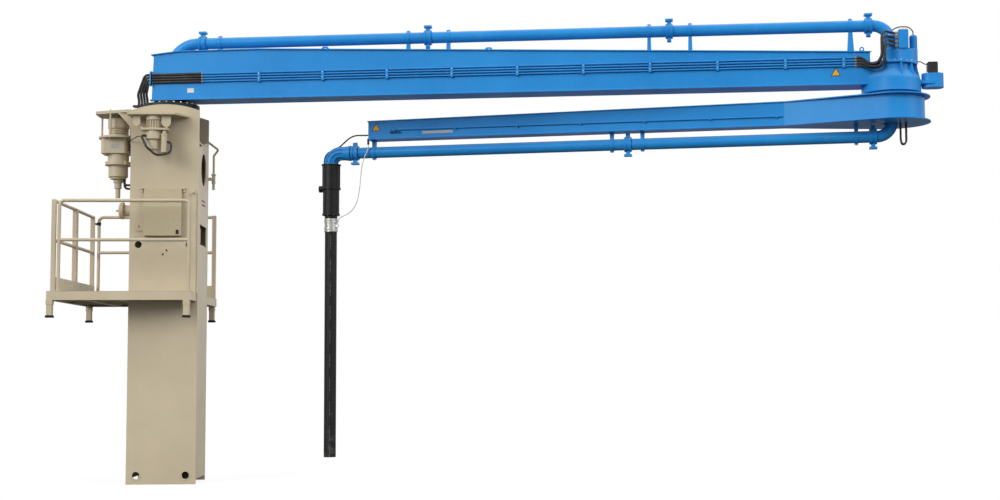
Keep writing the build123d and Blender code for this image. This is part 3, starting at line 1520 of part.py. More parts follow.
def arm_2_block(radius, half, end, low, high_root, high_end):
    """The arm's plan, a drum that narrows to a straight beam, between two heights."""
    # the flare runs from the neck to where it is tangent to the drum
    reach = sqrt(neck_s**2 + half**2)
    turn = atan2(half, neck_s) + acos(radius / reach)
    touch = (radius * cos(turn), radius * sin(turn))
    with BuildPart() as block:
        with BuildSketch(fold.offset(low)):
            with BuildLine():
                Polyline(touch, (neck_s, half), (end, half), (end, -half), (neck_s, -half), (touch[0], -touch[1]))
                ThreePointArc((touch[0], -touch[1]), (-radius, 0), touch)
            make_face()
        extrude(amount=high_root - low + overcut)
        with BuildSketch(fold_side):
            with BuildLine():
                Polyline(
                    (-radius - overcut, low),
                    (-radius - overcut, high_root),
                    (0, high_root),
                    (end, high_end),
                    (end, low),
                    close=True,
                )
            make_face()
        extrude(amount=radius + overcut, both=True, mode=Mode.INTERSECT)
    return block.part


plate_plan = (root_radius + root_lip, arm_2_half + arm_2_lip, arm_2_end + end_lip)
arm_2_webs = arm_2_block(root_radius, arm_2_half, arm_2_end, arm_2_bottom, arm_2_top, arm_2_tip_top)
arm_2_hollow = arm_2_block(
    root_radius - arm_wall, arm_2_half - arm_wall, arm_2_end - arm_wall,
    arm_2_bottom - overcut, arm_2_top + overcut, arm_2_tip_top + overcut,
)
arm_2_lower_flange = arm_2_block(*plate_plan, arm_2_bottom - flange, arm_2_bottom, arm_2_bottom)
arm_2_upper_flange = arm_2_block(*plate_plan, flange_base, arm_2_top + flange, arm_2_tip_top + flange)
arm_2_below_flange = arm_2_block(
    *[size + 5 * overcut for size in plate_plan], flange_base - overcut, arm_2_top, arm_2_tip_top
)

with BuildPart() as arm_2_top_plate:
    add(arm_2_upper_flange)
    add(arm_2_below_flange, mode=Mode.SUBTRACT)

with BuildPart() as arm_2_box:
    add(arm_2_webs)
    add(arm_2_hollow, mode=Mode.SUBTRACT)
    add(arm_2_lower_flange)
    add(arm_2_top_plate.part)
    with BuildSketch(fold.offset(arm_2_bottom)):
        Circle(pipe_radius + port_clearance)
    extrude(amount=arm_2_top + 2 * flange - arm_2_bottom, mode=Mode.SUBTRACT)
    with BuildSketch(fold.offset(arm_2_bottom - 2 * flange)):
        with Locations((lower_passage / 2 - pipe_radius - port_clearance, 0)):
            SlotOverall(lower_passage, 2 * (pipe_radius + port_clearance))
    extrude(amount=4 * flange, mode=Mode.SUBTRACT)
arm_2_box.part.label = "arm_2_box"
export_step(arm_2_box.part, "parts/arm_2_box.step")

with BuildPart() as arm_2_ring:
    with BuildSketch(fold.offset(arm_2_top + flange)):
        Circle(ring_radius)
        Circle(pipe_radius + port_clearance, mode=Mode.SUBTRACT)
    extrude(amount=elbow_bottom - bearing_gap - arm_2_top - flange)
arm_2_ring.part.label = "arm_2_ring"
export_step(arm_2_ring.part, "parts/arm_2_ring.step")

with BuildPart() as delivery_pipe_2:
    with BuildLine(fold_side) as pipe_2_path:
        FilletPolyline((0, elbow_bottom - bearing_gap), (0, pipe_2_z), (pipe_2_end, pipe_2_z), radius=lower_bend)
    with BuildSketch(Plane(origin=pipe_2_path.line @ 0, z_dir=pipe_2_path.line % 0)):
        Circle(pipe_radius)
        Circle(pipe_bore, mode=Mode.SUBTRACT)
    sweep(path=pipe_2_path.line)
delivery_pipe_2.part.label = "delivery_pipe_2"
export_step(delivery_pipe_2.part, "parts/delivery_pipe_2.step")

coupling_2_stations = (221.0, 3133.0, arm_2_reach - 317)
with BuildPart() as pipe_2_couplings:
    for station in coupling_2_stations:
        add(snap_coupling(fold, station, pipe_2_z, lug_heights[1], False))
pipe_2_couplings.part.label = "pipe_2_couplings"
export_step(pipe_2_couplings.part, "parts/pipe_2_couplings.step")

support_2_stations = (415.0, 2955.0, 3329.0, arm_2_reach - 569)
support_2_half = 26.0
with BuildPart() as pipe_2_supports:
    underside = arm_2_bottom - flange
    for station in support_2_stations:
        add(line_post(fold, fold_side, station, support_2_half, underside, underside, pipe_2_z))
pipe_2_supports.part.label = "pipe_2_supports"
export_step(pipe_2_supports.part, "parts/pipe_2_supports.step")

# Hose loops under the root drum: (distance along the arm, across it, height over the underside)
loop_points = ((-96.0, 20.0, 0.0), (-96.0, 20.0, -190.0), (-118.0, 26.0, -325.0), (-160.0, 34.0, -210.0), (-160.0, 34.0, 0.0))
loop_bends = [60, 26, 60]
loop_hose_radius = 11.0
with BuildPart() as loop_hoses:
    for side in (-1, 1):
        route = [fold.from_local_coords((s, side * y, arm_2_bottom - flange + z)) for s, y, z in loop_points]
        add(hose(route, loop_bends, loop_hose_radius))
loop_hoses.part.label = "loop_hoses"
export_step(loop_hoses.part, "parts/loop_hoses.step")

# Conduit along the front web; its ends turn into the web
conduit_tube = 9.0
conduit_standoff = 14.0
conduit_height = arm_2_bottom + 100
conduit_start = neck_s + 20
conduit_end = arm_2_reach - 807
conduit_turn = 12.0
clip_size = (26.0, 27.0, 38.0)
clip_count = 7
clip_inset = 60.0
with BuildPart() as arm_2_conduit:
    outside = arm_2_half + conduit_standoff
    add(hose(
        [
            fold.from_local_coords(point)
            for point in (
                (conduit_start, arm_2_half, conduit_height),
                (conduit_start, outside, conduit_height),
                (conduit_end, outside, conduit_height),
                (conduit_end, arm_2_half, conduit_height),
            )
        ],
        [conduit_turn, conduit_turn], conduit_tube,
    ))
    clip_step = (conduit_end - conduit_start - 2 * clip_inset) / (clip_count - 1)
    for clip in range(clip_count):
        clip_s = conduit_start + clip_inset + clip * clip_step
        with BuildSketch(across(fold, clip_s)):
            with Locations((arm_2_half + clip_size[1] / 2, conduit_height)):
                Rectangle(clip_size[1], clip_size[2])
        extrude(amount=clip_size[0])
arm_2_conduit.part.label = "arm_2_conduit"
export_step(arm_2_conduit.part, "parts/arm_2_conduit.step")

# ------------------------------------------------------------------ end elbow, pinch valve and hose
end_elbow_wall = 78.0
end_elbow_bend = 130.0
flute_radius = 8.0
flute_ring = 80.0
flute_count = 10
cone_wide = 98.0
cone_narrow = 84.0
cone_length = 105.0
valve_top = pipe_2_z - end_elbow_bend - 8
valve_stages = ((125.0, 12.0), (112.0, 286.0), (122.0, 22.0), (104.0, 306.0), (112.0, 24.0), (80.0, 41.0))
pillar_count = 6
pillar_ring = 109.0
pillar_radius = 10.0
boss_radius = 42.0
boss_reach = 155.0
boss_under_top = 310.0
boss_bore = 24.0
boss_bore_depth = 30.0
hose_outer = 76.0
hose_bore = 62.5
hose_bottom = 274.0
clamp_top = valve_top - depth_of(valve_stages)
band_stages = ((86.0, 52.0), (81.0, 58.0), (86.0, 54.0))
clamp_face_gap = 2.0
lug_place = (-92.0, 22.0)       # along and across the arm from the hose's axis
lug_box = (38.0, 30.0, 28.0)
lug_under_clamp = 75.0

end_point = fold.from_local_coords((arm_2_reach, 0, 0))
end_axis = Axis(end_point, (0, 0, 1))
end_level = Plane(origin=end_point, x_dir=fold.x_dir, z_dir=(0, 0, 1))
end_plane = Plane(origin=end_point, x_dir=fold.x_dir, z_dir=-fold.y_dir)

with BuildPart() as end_elbow:
    with BuildLine(fold_side) as end_path:
        FilletPolyline(
            (pipe_2_end, pipe_2_z), (arm_2_reach, pipe_2_z), (arm_2_reach, valve_top), radius=end_elbow_bend
        )
    with BuildSketch(Plane(origin=end_path.line @ 0, z_dir=end_path.line % 0)):
        Circle(end_elbow_wall)
        with PolarLocations(flute_ring, flute_count):
            Circle(flute_radius)
        Circle(pipe_bore, mode=Mode.SUBTRACT)
    sweep(path=end_path.line)
    # inlet cone
    with BuildSketch(fold_side):
        with BuildLine():
            Polyline(
                (pipe_2_end, pipe_2_z + pipe_bore),
                (pipe_2_end, pipe_2_z + cone_wide),
                (pipe_2_end + cone_length, pipe_2_z + cone_narrow),
                (pipe_2_end + cone_length, pipe_2_z + pipe_bore),
                close=True,
            )
        make_face()
    revolve(axis=Axis(fold.from_local_coords((0, 0, pipe_2_z)), fold.x_dir))
end_elbow.part.label = "end_elbow"
export_step(end_elbow.part, "parts/end_elbow.step")

with BuildPart() as pinch_valve:
    with BuildSketch(end_plane):
        with BuildLine():
            Polyline(*stage_outline(valve_top, valve_stages, hose_bore), close=True)
        make_face()
    revolve(axis=end_axis)
    # pillars between the two upper flanges
    with BuildSketch(end_level.offset(valve_top - depth_of(valve_stages[:2]))):
        with PolarLocations(pillar_ring, pillar_count):
            Circle(pillar_radius)
    extrude(amount=valve_stages[1][1])
    # connection on the outer side
    with BuildSketch(Plane(origin=end_point, x_dir=fold.y_dir, z_dir=fold.x_dir)):
        with Locations((0, valve_top - boss_under_top)):
            Circle(boss_radius)
    extrude(amount=boss_reach)
    with BuildSketch(Plane(origin=end_point, x_dir=fold.y_dir, z_dir=fold.x_dir).offset(boss_reach)):
        with Locations((0, valve_top - boss_under_top)):
            Circle(boss_bore)
    extrude(amount=-boss_bore_depth, mode=Mode.SUBTRACT)
    with BuildSketch(end_level.offset(clamp_top)):
        Circle(hose_bore)
    extrude(amount=valve_top - clamp_top, mode=Mode.SUBTRACT)
pinch_valve.part.label = "pinch_valve"
export_step(pinch_valve.part, "parts/pinch_valve.step")

with BuildPart() as end_hose:
    with BuildSketch(end_level.offset(hose_bottom)):
        Circle(hose_outer)
        Circle(hose_bore, mode=Mode.SUBTRACT)
    extrude(amount=clamp_top - hose_bottom)
end_hose.part.label = "end_hose"
export_step(end_hose.part, "parts/end_hose.step")

with BuildPart() as hose_clamp:
    band_top = clamp_top - clamp_face_gap
    with BuildSketch(end_plane):
        with BuildLine():
            Polyline(*stage_outline(band_top, band_stages, hose_outer + seat_gap), close=True)
        make_face()
    revolve(axis=end_axis)
    # lug for the safety cable
    with BuildSketch(end_level.offset(band_top - lug_under_clamp)):
        with Locations(lug_place):
            Rectangle(lug_box[0], lug_box[1])
        Circle(hose_outer + seat_gap, mode=Mode.SUBTRACT)
    extrude(amount=-lug_box[2])
hose_clamp.part.label = "hose_clamp"
export_step(hose_clamp.part, "parts/hose_clamp.step")

# ------------------------------------------------------------------ cables at the tip
gland_1_height = arm_2_bottom + 60
gland_1_length = 25.0
gland_1_radius = 16.0
gland_2_place = (arm_2_end + 2, 95.0)
gland_2_length = 60.0
gland_2_radius = 14.0
valve_cable_radius = 9.0
safety_cable_radius = 6.0

with BuildPart() as cable_glands:
    with BuildSketch(across(fold, arm_2_end)):
        with Locations((0, gland_1_height)):
            Circle(gland_1_radius)
    extrude(amount=gland_1_length)
    with BuildSketch(fold.offset(arm_2_bottom - flange)):
        with Locations(gland_2_place):
            Circle(gland_2_radius)
    extrude(amount=-gland_2_length)
cable_glands.part.label = "cable_glands"
export_step(cable_glands.part, "parts/cable_glands.step")

# Routes as (distance from the hose's axis along the arm, across it, height)
valve_cable_points = (
    (arm_2_end + gland_1_length - arm_2_reach, 0, gland_1_height),
    (-407, 0, gland_1_height),
    (-318, -18, 4330),
    (-226, -40, 4302),
    (-132, -62, 4228),
    (-49, -74, 4168),
    (23, -80, 4150),
    (88, -82, 4112),
    (108, -44, 4040),
    (108, -44, valve_top),
)
safety_cable_points = (
    (gland_2_place[0] - arm_2_reach, gland_2_place[1], arm_2_bottom - flange - gland_2_length),
    (gland_2_place[0] - arm_2_reach, gland_2_place[1], 4130),
    (-478, 99, 4055),
    (-440, 99, 3955),
    (-422, 98, 3840),
    (-413, 95, 3720),
    (-397, 91, 3600),
    (-374, 84, 3490),
    (-329, 70, 3400),
    (-257, 50, 3330),
    (-172, 36, 3300),
    (-98, 22, 3262),
    (-98, 22, band_top - lug_under_clamp),
)


def cord(route_points, radius):
    """A cable along its route; its end faces lie flat on what holds them."""
    route = [fold.from_local_coords((arm_2_reach + s, y, z)) for s, y, z in route_points]
    radii = bend_radii(route)
    print("bend radii", [round(bend) for bend in radii])
    return hose(route, radii, radius)


with BuildPart() as valve_cable:
    add(cord(valve_cable_points, valve_cable_radius))
valve_cable.part.label = "valve_cable"
export_step(valve_cable.part, "parts/valve_cable.step")

with BuildPart() as safety_cable:
    add(cord(safety_cable_points, safety_cable_radius))
safety_cable.part.label = "safety_cable"
export_step(safety_cable.part, "parts/safety_cable.step")
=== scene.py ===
"""Looks of the stationary concrete placing boom: studio, finishes, cables, fasteners and signs."""

import json
import math

import bmesh
import bpy
from mathutils import Matrix, Vector


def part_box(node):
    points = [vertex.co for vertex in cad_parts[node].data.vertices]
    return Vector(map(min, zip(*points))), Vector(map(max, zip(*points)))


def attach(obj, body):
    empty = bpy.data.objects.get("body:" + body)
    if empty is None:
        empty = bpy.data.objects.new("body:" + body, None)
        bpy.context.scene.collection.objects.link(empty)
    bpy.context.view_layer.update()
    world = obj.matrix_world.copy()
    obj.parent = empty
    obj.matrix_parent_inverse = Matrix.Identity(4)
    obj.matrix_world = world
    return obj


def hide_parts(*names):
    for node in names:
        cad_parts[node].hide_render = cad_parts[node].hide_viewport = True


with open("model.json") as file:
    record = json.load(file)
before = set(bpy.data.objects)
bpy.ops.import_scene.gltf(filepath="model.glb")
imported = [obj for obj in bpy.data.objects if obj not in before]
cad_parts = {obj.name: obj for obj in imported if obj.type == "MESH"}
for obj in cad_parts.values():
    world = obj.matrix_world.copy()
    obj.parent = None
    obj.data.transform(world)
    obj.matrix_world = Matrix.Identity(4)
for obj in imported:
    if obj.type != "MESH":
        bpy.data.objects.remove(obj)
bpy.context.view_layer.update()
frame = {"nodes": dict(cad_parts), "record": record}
scene = bpy.context.scene
record = frame["record"]
RIGHT, FRONT, UP = Vector((1, 0, 0)), Vector((0, -1, 0)), Vector((0, 0, 1))
DOWN = -UP


# ------------------------------------------------------------------ nodes and colours
def linear(hex_colour):
    """An sRGB hex colour as the linear RGBA that Blender's sockets take."""
    channels = [int(hex_colour[i:i + 2], 16) / 255 for i in (1, 3, 5)]
    return (*[c / 12.92 if c <= 0.04045 else ((c + 0.055) / 1.055) ** 2.4 for c in channels], 1.0)


def cycles(size_mm):
    """A pattern's scale in cycles per metre, from the size of one patch, streak or grain in millimetres."""
    return 1000 / size_mm


def add(tree, kind, inputs=None, **settings):
    """Adds a node with its settings; a socket gets a value, a link, or a node's first live output."""
    made = tree.nodes.new(kind)
    for name, value in settings.items():
        setattr(made, name, value)
    for name, value in (inputs or {}).items():
        if isinstance(value, bpy.types.Node):
            value = next(output for output in value.outputs if output.enabled)
        if isinstance(value, bpy.types.NodeSocket):
            tree.links.new(value, made.inputs[name])
        else:
            made.inputs[name].default_value = value
    return made


def new_material(name):
    """A node material with nothing in its tree, and that tree."""
    material = bpy.data.materials.new(name)
    material.use_nodes = True
    material.node_tree.nodes.clear()
    return material, material.node_tree


# ------------------------------------------------------------------ camera
def make_camera():
    """The camera stands low in front of the column and looks slightly up along both arms."""
    place = Vector((3.293, -18.780, 1.401))
    yaw, pitch, roll = math.radians(2.462), math.radians(4.406), math.radians(-0.183)
    forward = Vector((math.sin(yaw) * math.cos(pitch), math.cos(yaw) * math.cos(pitch), math.sin(pitch)))
    level = Vector((math.cos(yaw), -math.sin(yaw), 0))
    upright = level.cross(forward)
    right = level * math.cos(roll) + upright * math.sin(roll)
    up = upright * math.cos(roll) - level * math.sin(roll)
    data = bpy.data.cameras.new("camera")
    data.sensor_width = 36.0
    data.lens = 54.29
    data.clip_end = 1000.0
    camera = bpy.data.objects.new("camera", data)
    scene.collection.objects.link(camera)
    camera.matrix_world = Matrix.Translation(place) @ Matrix((right, up, -forward)).transposed().to_4x4()
    scene.camera = camera


make_camera()


# ------------------------------------------------------------------ places on the machine
def middle(node):
    """The middle of a node's box."""
    low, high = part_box(node)
    return (low + high) / 2


def at_height(point, z):
    """The point moved to a height."""
    return Vector((point.x, point.y, z))


class Arm:
    """A level arm: its axis starts over one upright axis and runs to the next."""

    def __init__(self, start, end):
        self.start = at_height(start, 0)
        span = at_height(end, 0) - self.start
        self.reach = span.length
        self.along = span.normalized()
        self.across = UP.cross(self.along)

    def at(self, s, y, z):
        """The point at a distance along the arm, one across it, and a height."""
        return self.start + self.along * s + self.across * y + UP * z


elbow_place = Vector(next(joint["pos_m"] for joint in record["behaviour"]["joints"]
                          if joint["name"] == "arm_2_slew"))
outlet = Vector(next(mount["pos_m"] for mount in record["mounts"] if mount["name"] == "line_outlet"))
boom = Arm(Vector(), elbow_place)       # arm 1
fold = Arm(elbow_place, outlet)         # arm 2, folded back beside it


# ------------------------------------------------------------------ cables at the tip
def round_cable(name, points, radius):
    """A round cable on one smooth spline through its route's control points."""
    data = bpy.data.curves.new(name, "CURVE")
    data.dimensions = "3D"
    spline = data.splines.new("NURBS")
    spline.points.add(len(points) - 1)
    for control, point in zip(spline.points, points):
        control.co = (*point, 1.0)
    spline.order_u = 3
    spline.use_endpoint_u = True
    spline.resolution_u = 12
    data.bevel_depth = radius
    data.bevel_resolution = 4
    data.use_fill_caps = True
    piece = bpy.data.objects.new(name, data)
    scene.collection.objects.link(piece)
    return piece


def tip_route(rows):
    """A route's points from (distance from the hose's axis, across the arm, height) in metres."""
    return [fold.at(fold.reach + s, y, z) for s, y, z in rows]


valve_route = tip_route((
    (-0.492, 0, 4.322), (-0.407, 0, 4.322), (-0.318, -0.018, 4.330), (-0.226, -0.040, 4.302),
    (-0.132, -0.062, 4.228), (-0.049, -0.074, 4.168), (0.023, -0.080, 4.150), (0.088, -0.082, 4.112),
    (0.108, -0.044, 4.040), (0.108, -0.044, 3.960),
))
safety_route = tip_route((
    (-0.515, 0.095, 4.190), (-0.515, 0.095, 4.130), (-0.478, 0.099, 4.055), (-0.440, 0.099, 3.955),
    (-0.422, 0.098, 3.840), (-0.413, 0.095, 3.720), (-0.397, 0.091, 3.600), (-0.374, 0.084, 3.490),
    (-0.329, 0.070, 3.400), (-0.257, 0.050, 3.330), (-0.172, 0.036, 3.300), (-0.098, 0.022, 3.262),
    (-0.098, 0.022, 3.192),
))

# ------------------------------------------------------------------ light
SKY_TOP = 0.78          # light from straight above
SKY_SIDE = 0.62         # light from the horizon
FLOOR_ALBEDO = 0.13     # what the floor sends back up
FLOOR_IN_PAINT = 0.12   # how much of the floor's white a glossy face mirrors
FLOOR_REACH = 300.0     # metres to each side


def make_world():
    """A white sky for the eye and for reflections, and an overcast sky as the light."""
    world = bpy.data.worlds.new("overcast")
    world.use_nodes = True
    tree = world.node_tree
    tree.nodes.clear()
    direction = add(tree, "ShaderNodeTexCoord")
    height = add(tree, "ShaderNodeSeparateXYZ", {0: direction.outputs["Generated"]})
    strength = add(tree, "ShaderNodeMapRange",
                   {0: height.outputs["Z"], 1: 0.0, 2: 1.0, 3: SKY_SIDE, 4: SKY_TOP})
    light = add(tree, "ShaderNodeBackground", {"Color": linear("#f4f7fb"), "Strength": strength})
    seen = add(tree, "ShaderNodeBackground", {"Color": linear("#ffffff"), "Strength": 1.0})
    path = add(tree, "ShaderNodeLightPath")
    white = path.outputs["Is Camera Ray"]
    for ray in ("Is Glossy Ray", "Is Transmission Ray"):
        white = add(tree, "ShaderNodeMath", {0: white, 1: path.outputs[ray]}, operation="MAXIMUM")
    mix = add(tree, "ShaderNodeMixShader", {0: white, 1: light, 2: seen})
    add(tree, "ShaderNodeOutputWorld", {"Surface": mix})
    scene.world = world


def make_sun(name, azimuth, elevation, strength, softness):
    """A soft sun at an azimuth (0 in front of the column, 90 at its right) and a height, in degrees."""
    data = bpy.data.lights.new(name, "SUN")
    data.energy = strength
    data.angle = math.radians(softness)
    sun = bpy.data.objects.new(name, data)
    scene.collection.objects.link(sun)
    turn, height = math.radians(azimuth), math.radians(elevation)
    source = Vector((math.sin(turn) * math.cos(height), -math.cos(turn) * math.cos(height),
                     math.sin(height)))
    sun.rotation_euler = source.to_track_quat("Z", "Y").to_euler()


def make_floor():
    """A pale floor at the column's foot that looks white and keeps a soft shadow."""
    mesh = bpy.data.meshes.new("floor")
    mesh.from_pydata([(-FLOOR_REACH, -FLOOR_REACH, 0), (FLOOR_REACH, -FLOOR_REACH, 0),
                      (FLOOR_REACH, FLOOR_REACH, 0), (-FLOOR_REACH, FLOOR_REACH, 0)], [], [(0, 1, 2, 3)])
    floor = bpy.data.objects.new("floor", mesh)
    scene.collection.objects.link(floor)
    # cement screed, trowelled: an even pale ground without a sheen
    material, tree = new_material("pale cement screed")
    shade = add(tree, "ShaderNodeBsdfDiffuse", {"Color": (FLOOR_ALBEDO,) * 3 + (1,)})
    path = add(tree, "ShaderNodeLightPath")
    mirrored = add(tree, "ShaderNodeMath", {0: path.outputs["Is Glossy Ray"], 1: FLOOR_IN_PAINT},
                   operation="MULTIPLY")
    seen = add(tree, "ShaderNodeMath", {0: path.outputs["Is Camera Ray"], 1: mirrored}, operation="MAXIMUM")
    strength = add(tree, "ShaderNodeMath", {0: seen, 1: 1 - FLOOR_ALBEDO}, operation="MULTIPLY")
    glow = add(tree, "ShaderNodeEmission", {"Color": linear("#ffffff"), "Strength": strength})
    bright = add(tree, "ShaderNodeAddShader", {0: shade, 1: glow})
    add(tree, "ShaderNodeOutputMaterial", {"Surface": bright})
    mesh.materials.append(material)


make_world()
make_sun("key_sun", -44, 23, 1.95, 30)
make_sun("fill_sun", 62, 28, 1.35, 40)
make_sun("back_sun", 165, 40, 0.7, 40)
make_floor()
scene.view_settings.view_transform = "Standard"


# ------------------------------------------------------------------ finishes
# Sockets by number: a Map Range takes a value (0) from 1..2 to 3..4 and holds it there, by default 0..1;
# a Mix of colours goes by a factor (0) from colour 6 to colour 7.
def surface(tree, colour, roughness, height, relief_mm, bump, sockets):
    """The surface's shader and the tree's output; height raises the surface by parts of its relief."""
    raised = add(tree, "ShaderNodeBump", {"Height": height, "Strength": bump, "Distance": relief_mm / 1000})
    shader = add(tree, "ShaderNodeBsdfPrincipled",
                 {"Base Color": colour, "Roughness": roughness, "Normal": raised, **sockets})
    add(tree, "ShaderNodeOutputMaterial", {"Surface": shader})


def enamel(name, colour, shade, dust, roughness, coat, dusted, specular):
    """Enamel sprayed on steel plate: faded in patches, dusty with cement where it faces up, and streaked."""
    material, tree = new_material(name)
    place = add(tree, "ShaderNodeTexCoord").outputs["Object"]
    # sun and weather fade it in patches about 0.8 m across
    patches = add(tree, "ShaderNodeTexNoise",
                  {"Vector": place, "Scale": cycles(770), "Detail": 5.0, "Roughness": 0.6})
    faded = add(tree, "ShaderNodeMapRange", {0: patches, 1: 0.35, 2: 0.65})
    paint = add(tree, "ShaderNodeMix", {0: faded, 6: linear(colour), 7: linear(shade)}, data_type="RGBA")
    # dust lies where a face looks up, in clots about 110 mm across
    clots = add(tree, "ShaderNodeTexNoise",
                {"Vector": place, "Scale": cycles(111), "Detail": 6.0, "Roughness": 0.65})
    normal = add(tree, "ShaderNodeSeparateXYZ", {0: add(tree, "ShaderNodeNewGeometry").outputs["Normal"]})
    level = add(tree, "ShaderNodeMapRange", {0: normal.outputs["Z"], 1: 0.45, 2: 0.95})
    clotted = add(tree, "ShaderNodeMapRange", {0: clots, 1: 0.36, 2: 0.62, 3: 0.25, 4: dusted})
    lying = add(tree, "ShaderNodeMath", {0: level, 1: clotted}, operation="MULTIPLY")
    # and rain draws a little of it down in streaks about 60 mm wide and over a metre long
    drawn_out = add(tree, "ShaderNodeMapping",
                    {"Vector": place, "Scale": (cycles(62.5), cycles(62.5), cycles(1111))})
    streaks = add(tree, "ShaderNodeTexNoise",
                  {"Vector": drawn_out, "Scale": 1.0, "Detail": 4.0, "Roughness": 0.55})
    broken = add(tree, "ShaderNodeMath", {0: streaks, 1: clots}, operation="MULTIPLY")
    running = add(tree, "ShaderNodeMapRange", {0: broken, 1: 0.30, 2: 0.48, 3: 0.0, 4: 0.16 * dusted})
    dusty = add(tree, "ShaderNodeMath", {0: lying, 1: running}, operation="ADD", use_clamp=True)
    colours = add(tree, "ShaderNodeMix", {0: dusty, 6: paint, 7: linear(dust)}, data_type="RGBA")
    paint_rough = add(tree, "ShaderNodeMapRange",
                      {0: patches, 1: 0.3, 2: 0.7, 3: roughness - 0.04, 4: roughness + 0.06})
    rough = add(tree, "ShaderNodeMath", {0: dusty, 1: 0.5, 2: paint_rough}, operation="MULTIPLY_ADD",
                use_clamp=True)
    # the orange peel of sprayed paint is about 2 mm across, drawn at 7 mm so that it shows
    peel = add(tree, "ShaderNodeTexNoise",
               {"Vector": place, "Scale": cycles(7), "Detail": 2.0, "Roughness": 0.55})
    surface(tree, colours, rough, peel, 0.6, 0.12,
            {"Coat Weight": coat, "Coat Roughness": 0.14, "Specular IOR Level": specular})
    return material


def plain(name, colour, shade, roughness, patch_mm, bump, metallic=0.0):
    """One colour that drifts to a shade over patches as wide as the real one's marks, with a fine grain."""
    material, tree = new_material(name)
    place = add(tree, "ShaderNodeTexCoord").outputs["Object"]
    drift = add(tree, "ShaderNodeTexNoise",
                {"Vector": place, "Scale": cycles(patch_mm), "Detail": 4.0, "Roughness": 0.55})
    shift = add(tree, "ShaderNodeMapRange", {0: drift, 1: 0.35, 2: 0.65})
    colours = add(tree, "ShaderNodeMix", {0: shift, 6: linear(colour), 7: linear(shade)}, data_type="RGBA")
    rough = add(tree, "ShaderNodeMapRange",
                {0: drift, 1: 0.3, 2: 0.7, 3: roughness - 0.05, 4: roughness + 0.08})
    # a real mould's or roller's grain is under 1 mm; a twelfth of a patch is as coarse as it needs to show
    grain = add(tree, "ShaderNodeTexNoise",
                {"Vector": place, "Scale": cycles(patch_mm / 12), "Detail": 2.0, "Roughness": 0.55})
    surface(tree, colours, rough, grain, 0.5, bump, {"Metallic": metallic, "Specular IOR Level": 0.25})
    return material


def wrapped_hose(name, colour, shade):
    """Rubber hose cured in a fabric wrap: its print stays, and dust sits in its grooves."""
    material, tree = new_material(name)
    place = add(tree, "ShaderNodeTexCoord").outputs["Object"]
    # the fabric's threads are 1.5 mm apart, drawn three times as coarse so that their print shows
    wrap = add(tree, "ShaderNodeTexNoise",
               {"Vector": place, "Scale": cycles(4.5), "Detail": 2.0, "Roughness": 0.55})
    # dust lies in patches about 140 mm long
    clots = add(tree, "ShaderNodeTexNoise",
                {"Vector": place, "Scale": cycles(143), "Detail": 5.0, "Roughness": 0.55})
    dusty = add(tree, "ShaderNodeMapRange", {0: clots, 1: 0.50, 2: 0.72, 3: 0.0, 4: 0.35})
    rubber = add(tree, "ShaderNodeMix", {0: wrap, 6: linear(colour), 7: linear(shade)}, data_type="RGBA")
    colours = add(tree, "ShaderNodeMix", {0: dusty, 6: rubber, 7: linear("#5c5a55")}, data_type="RGBA")
    rough = add(tree, "ShaderNodeMapRange", {0: wrap, 1: 0.3, 2: 0.7, 3: 0.5, 4: 0.7})
    surface(tree, colours, rough, wrap, 0.8, 0.4, {})
    return material


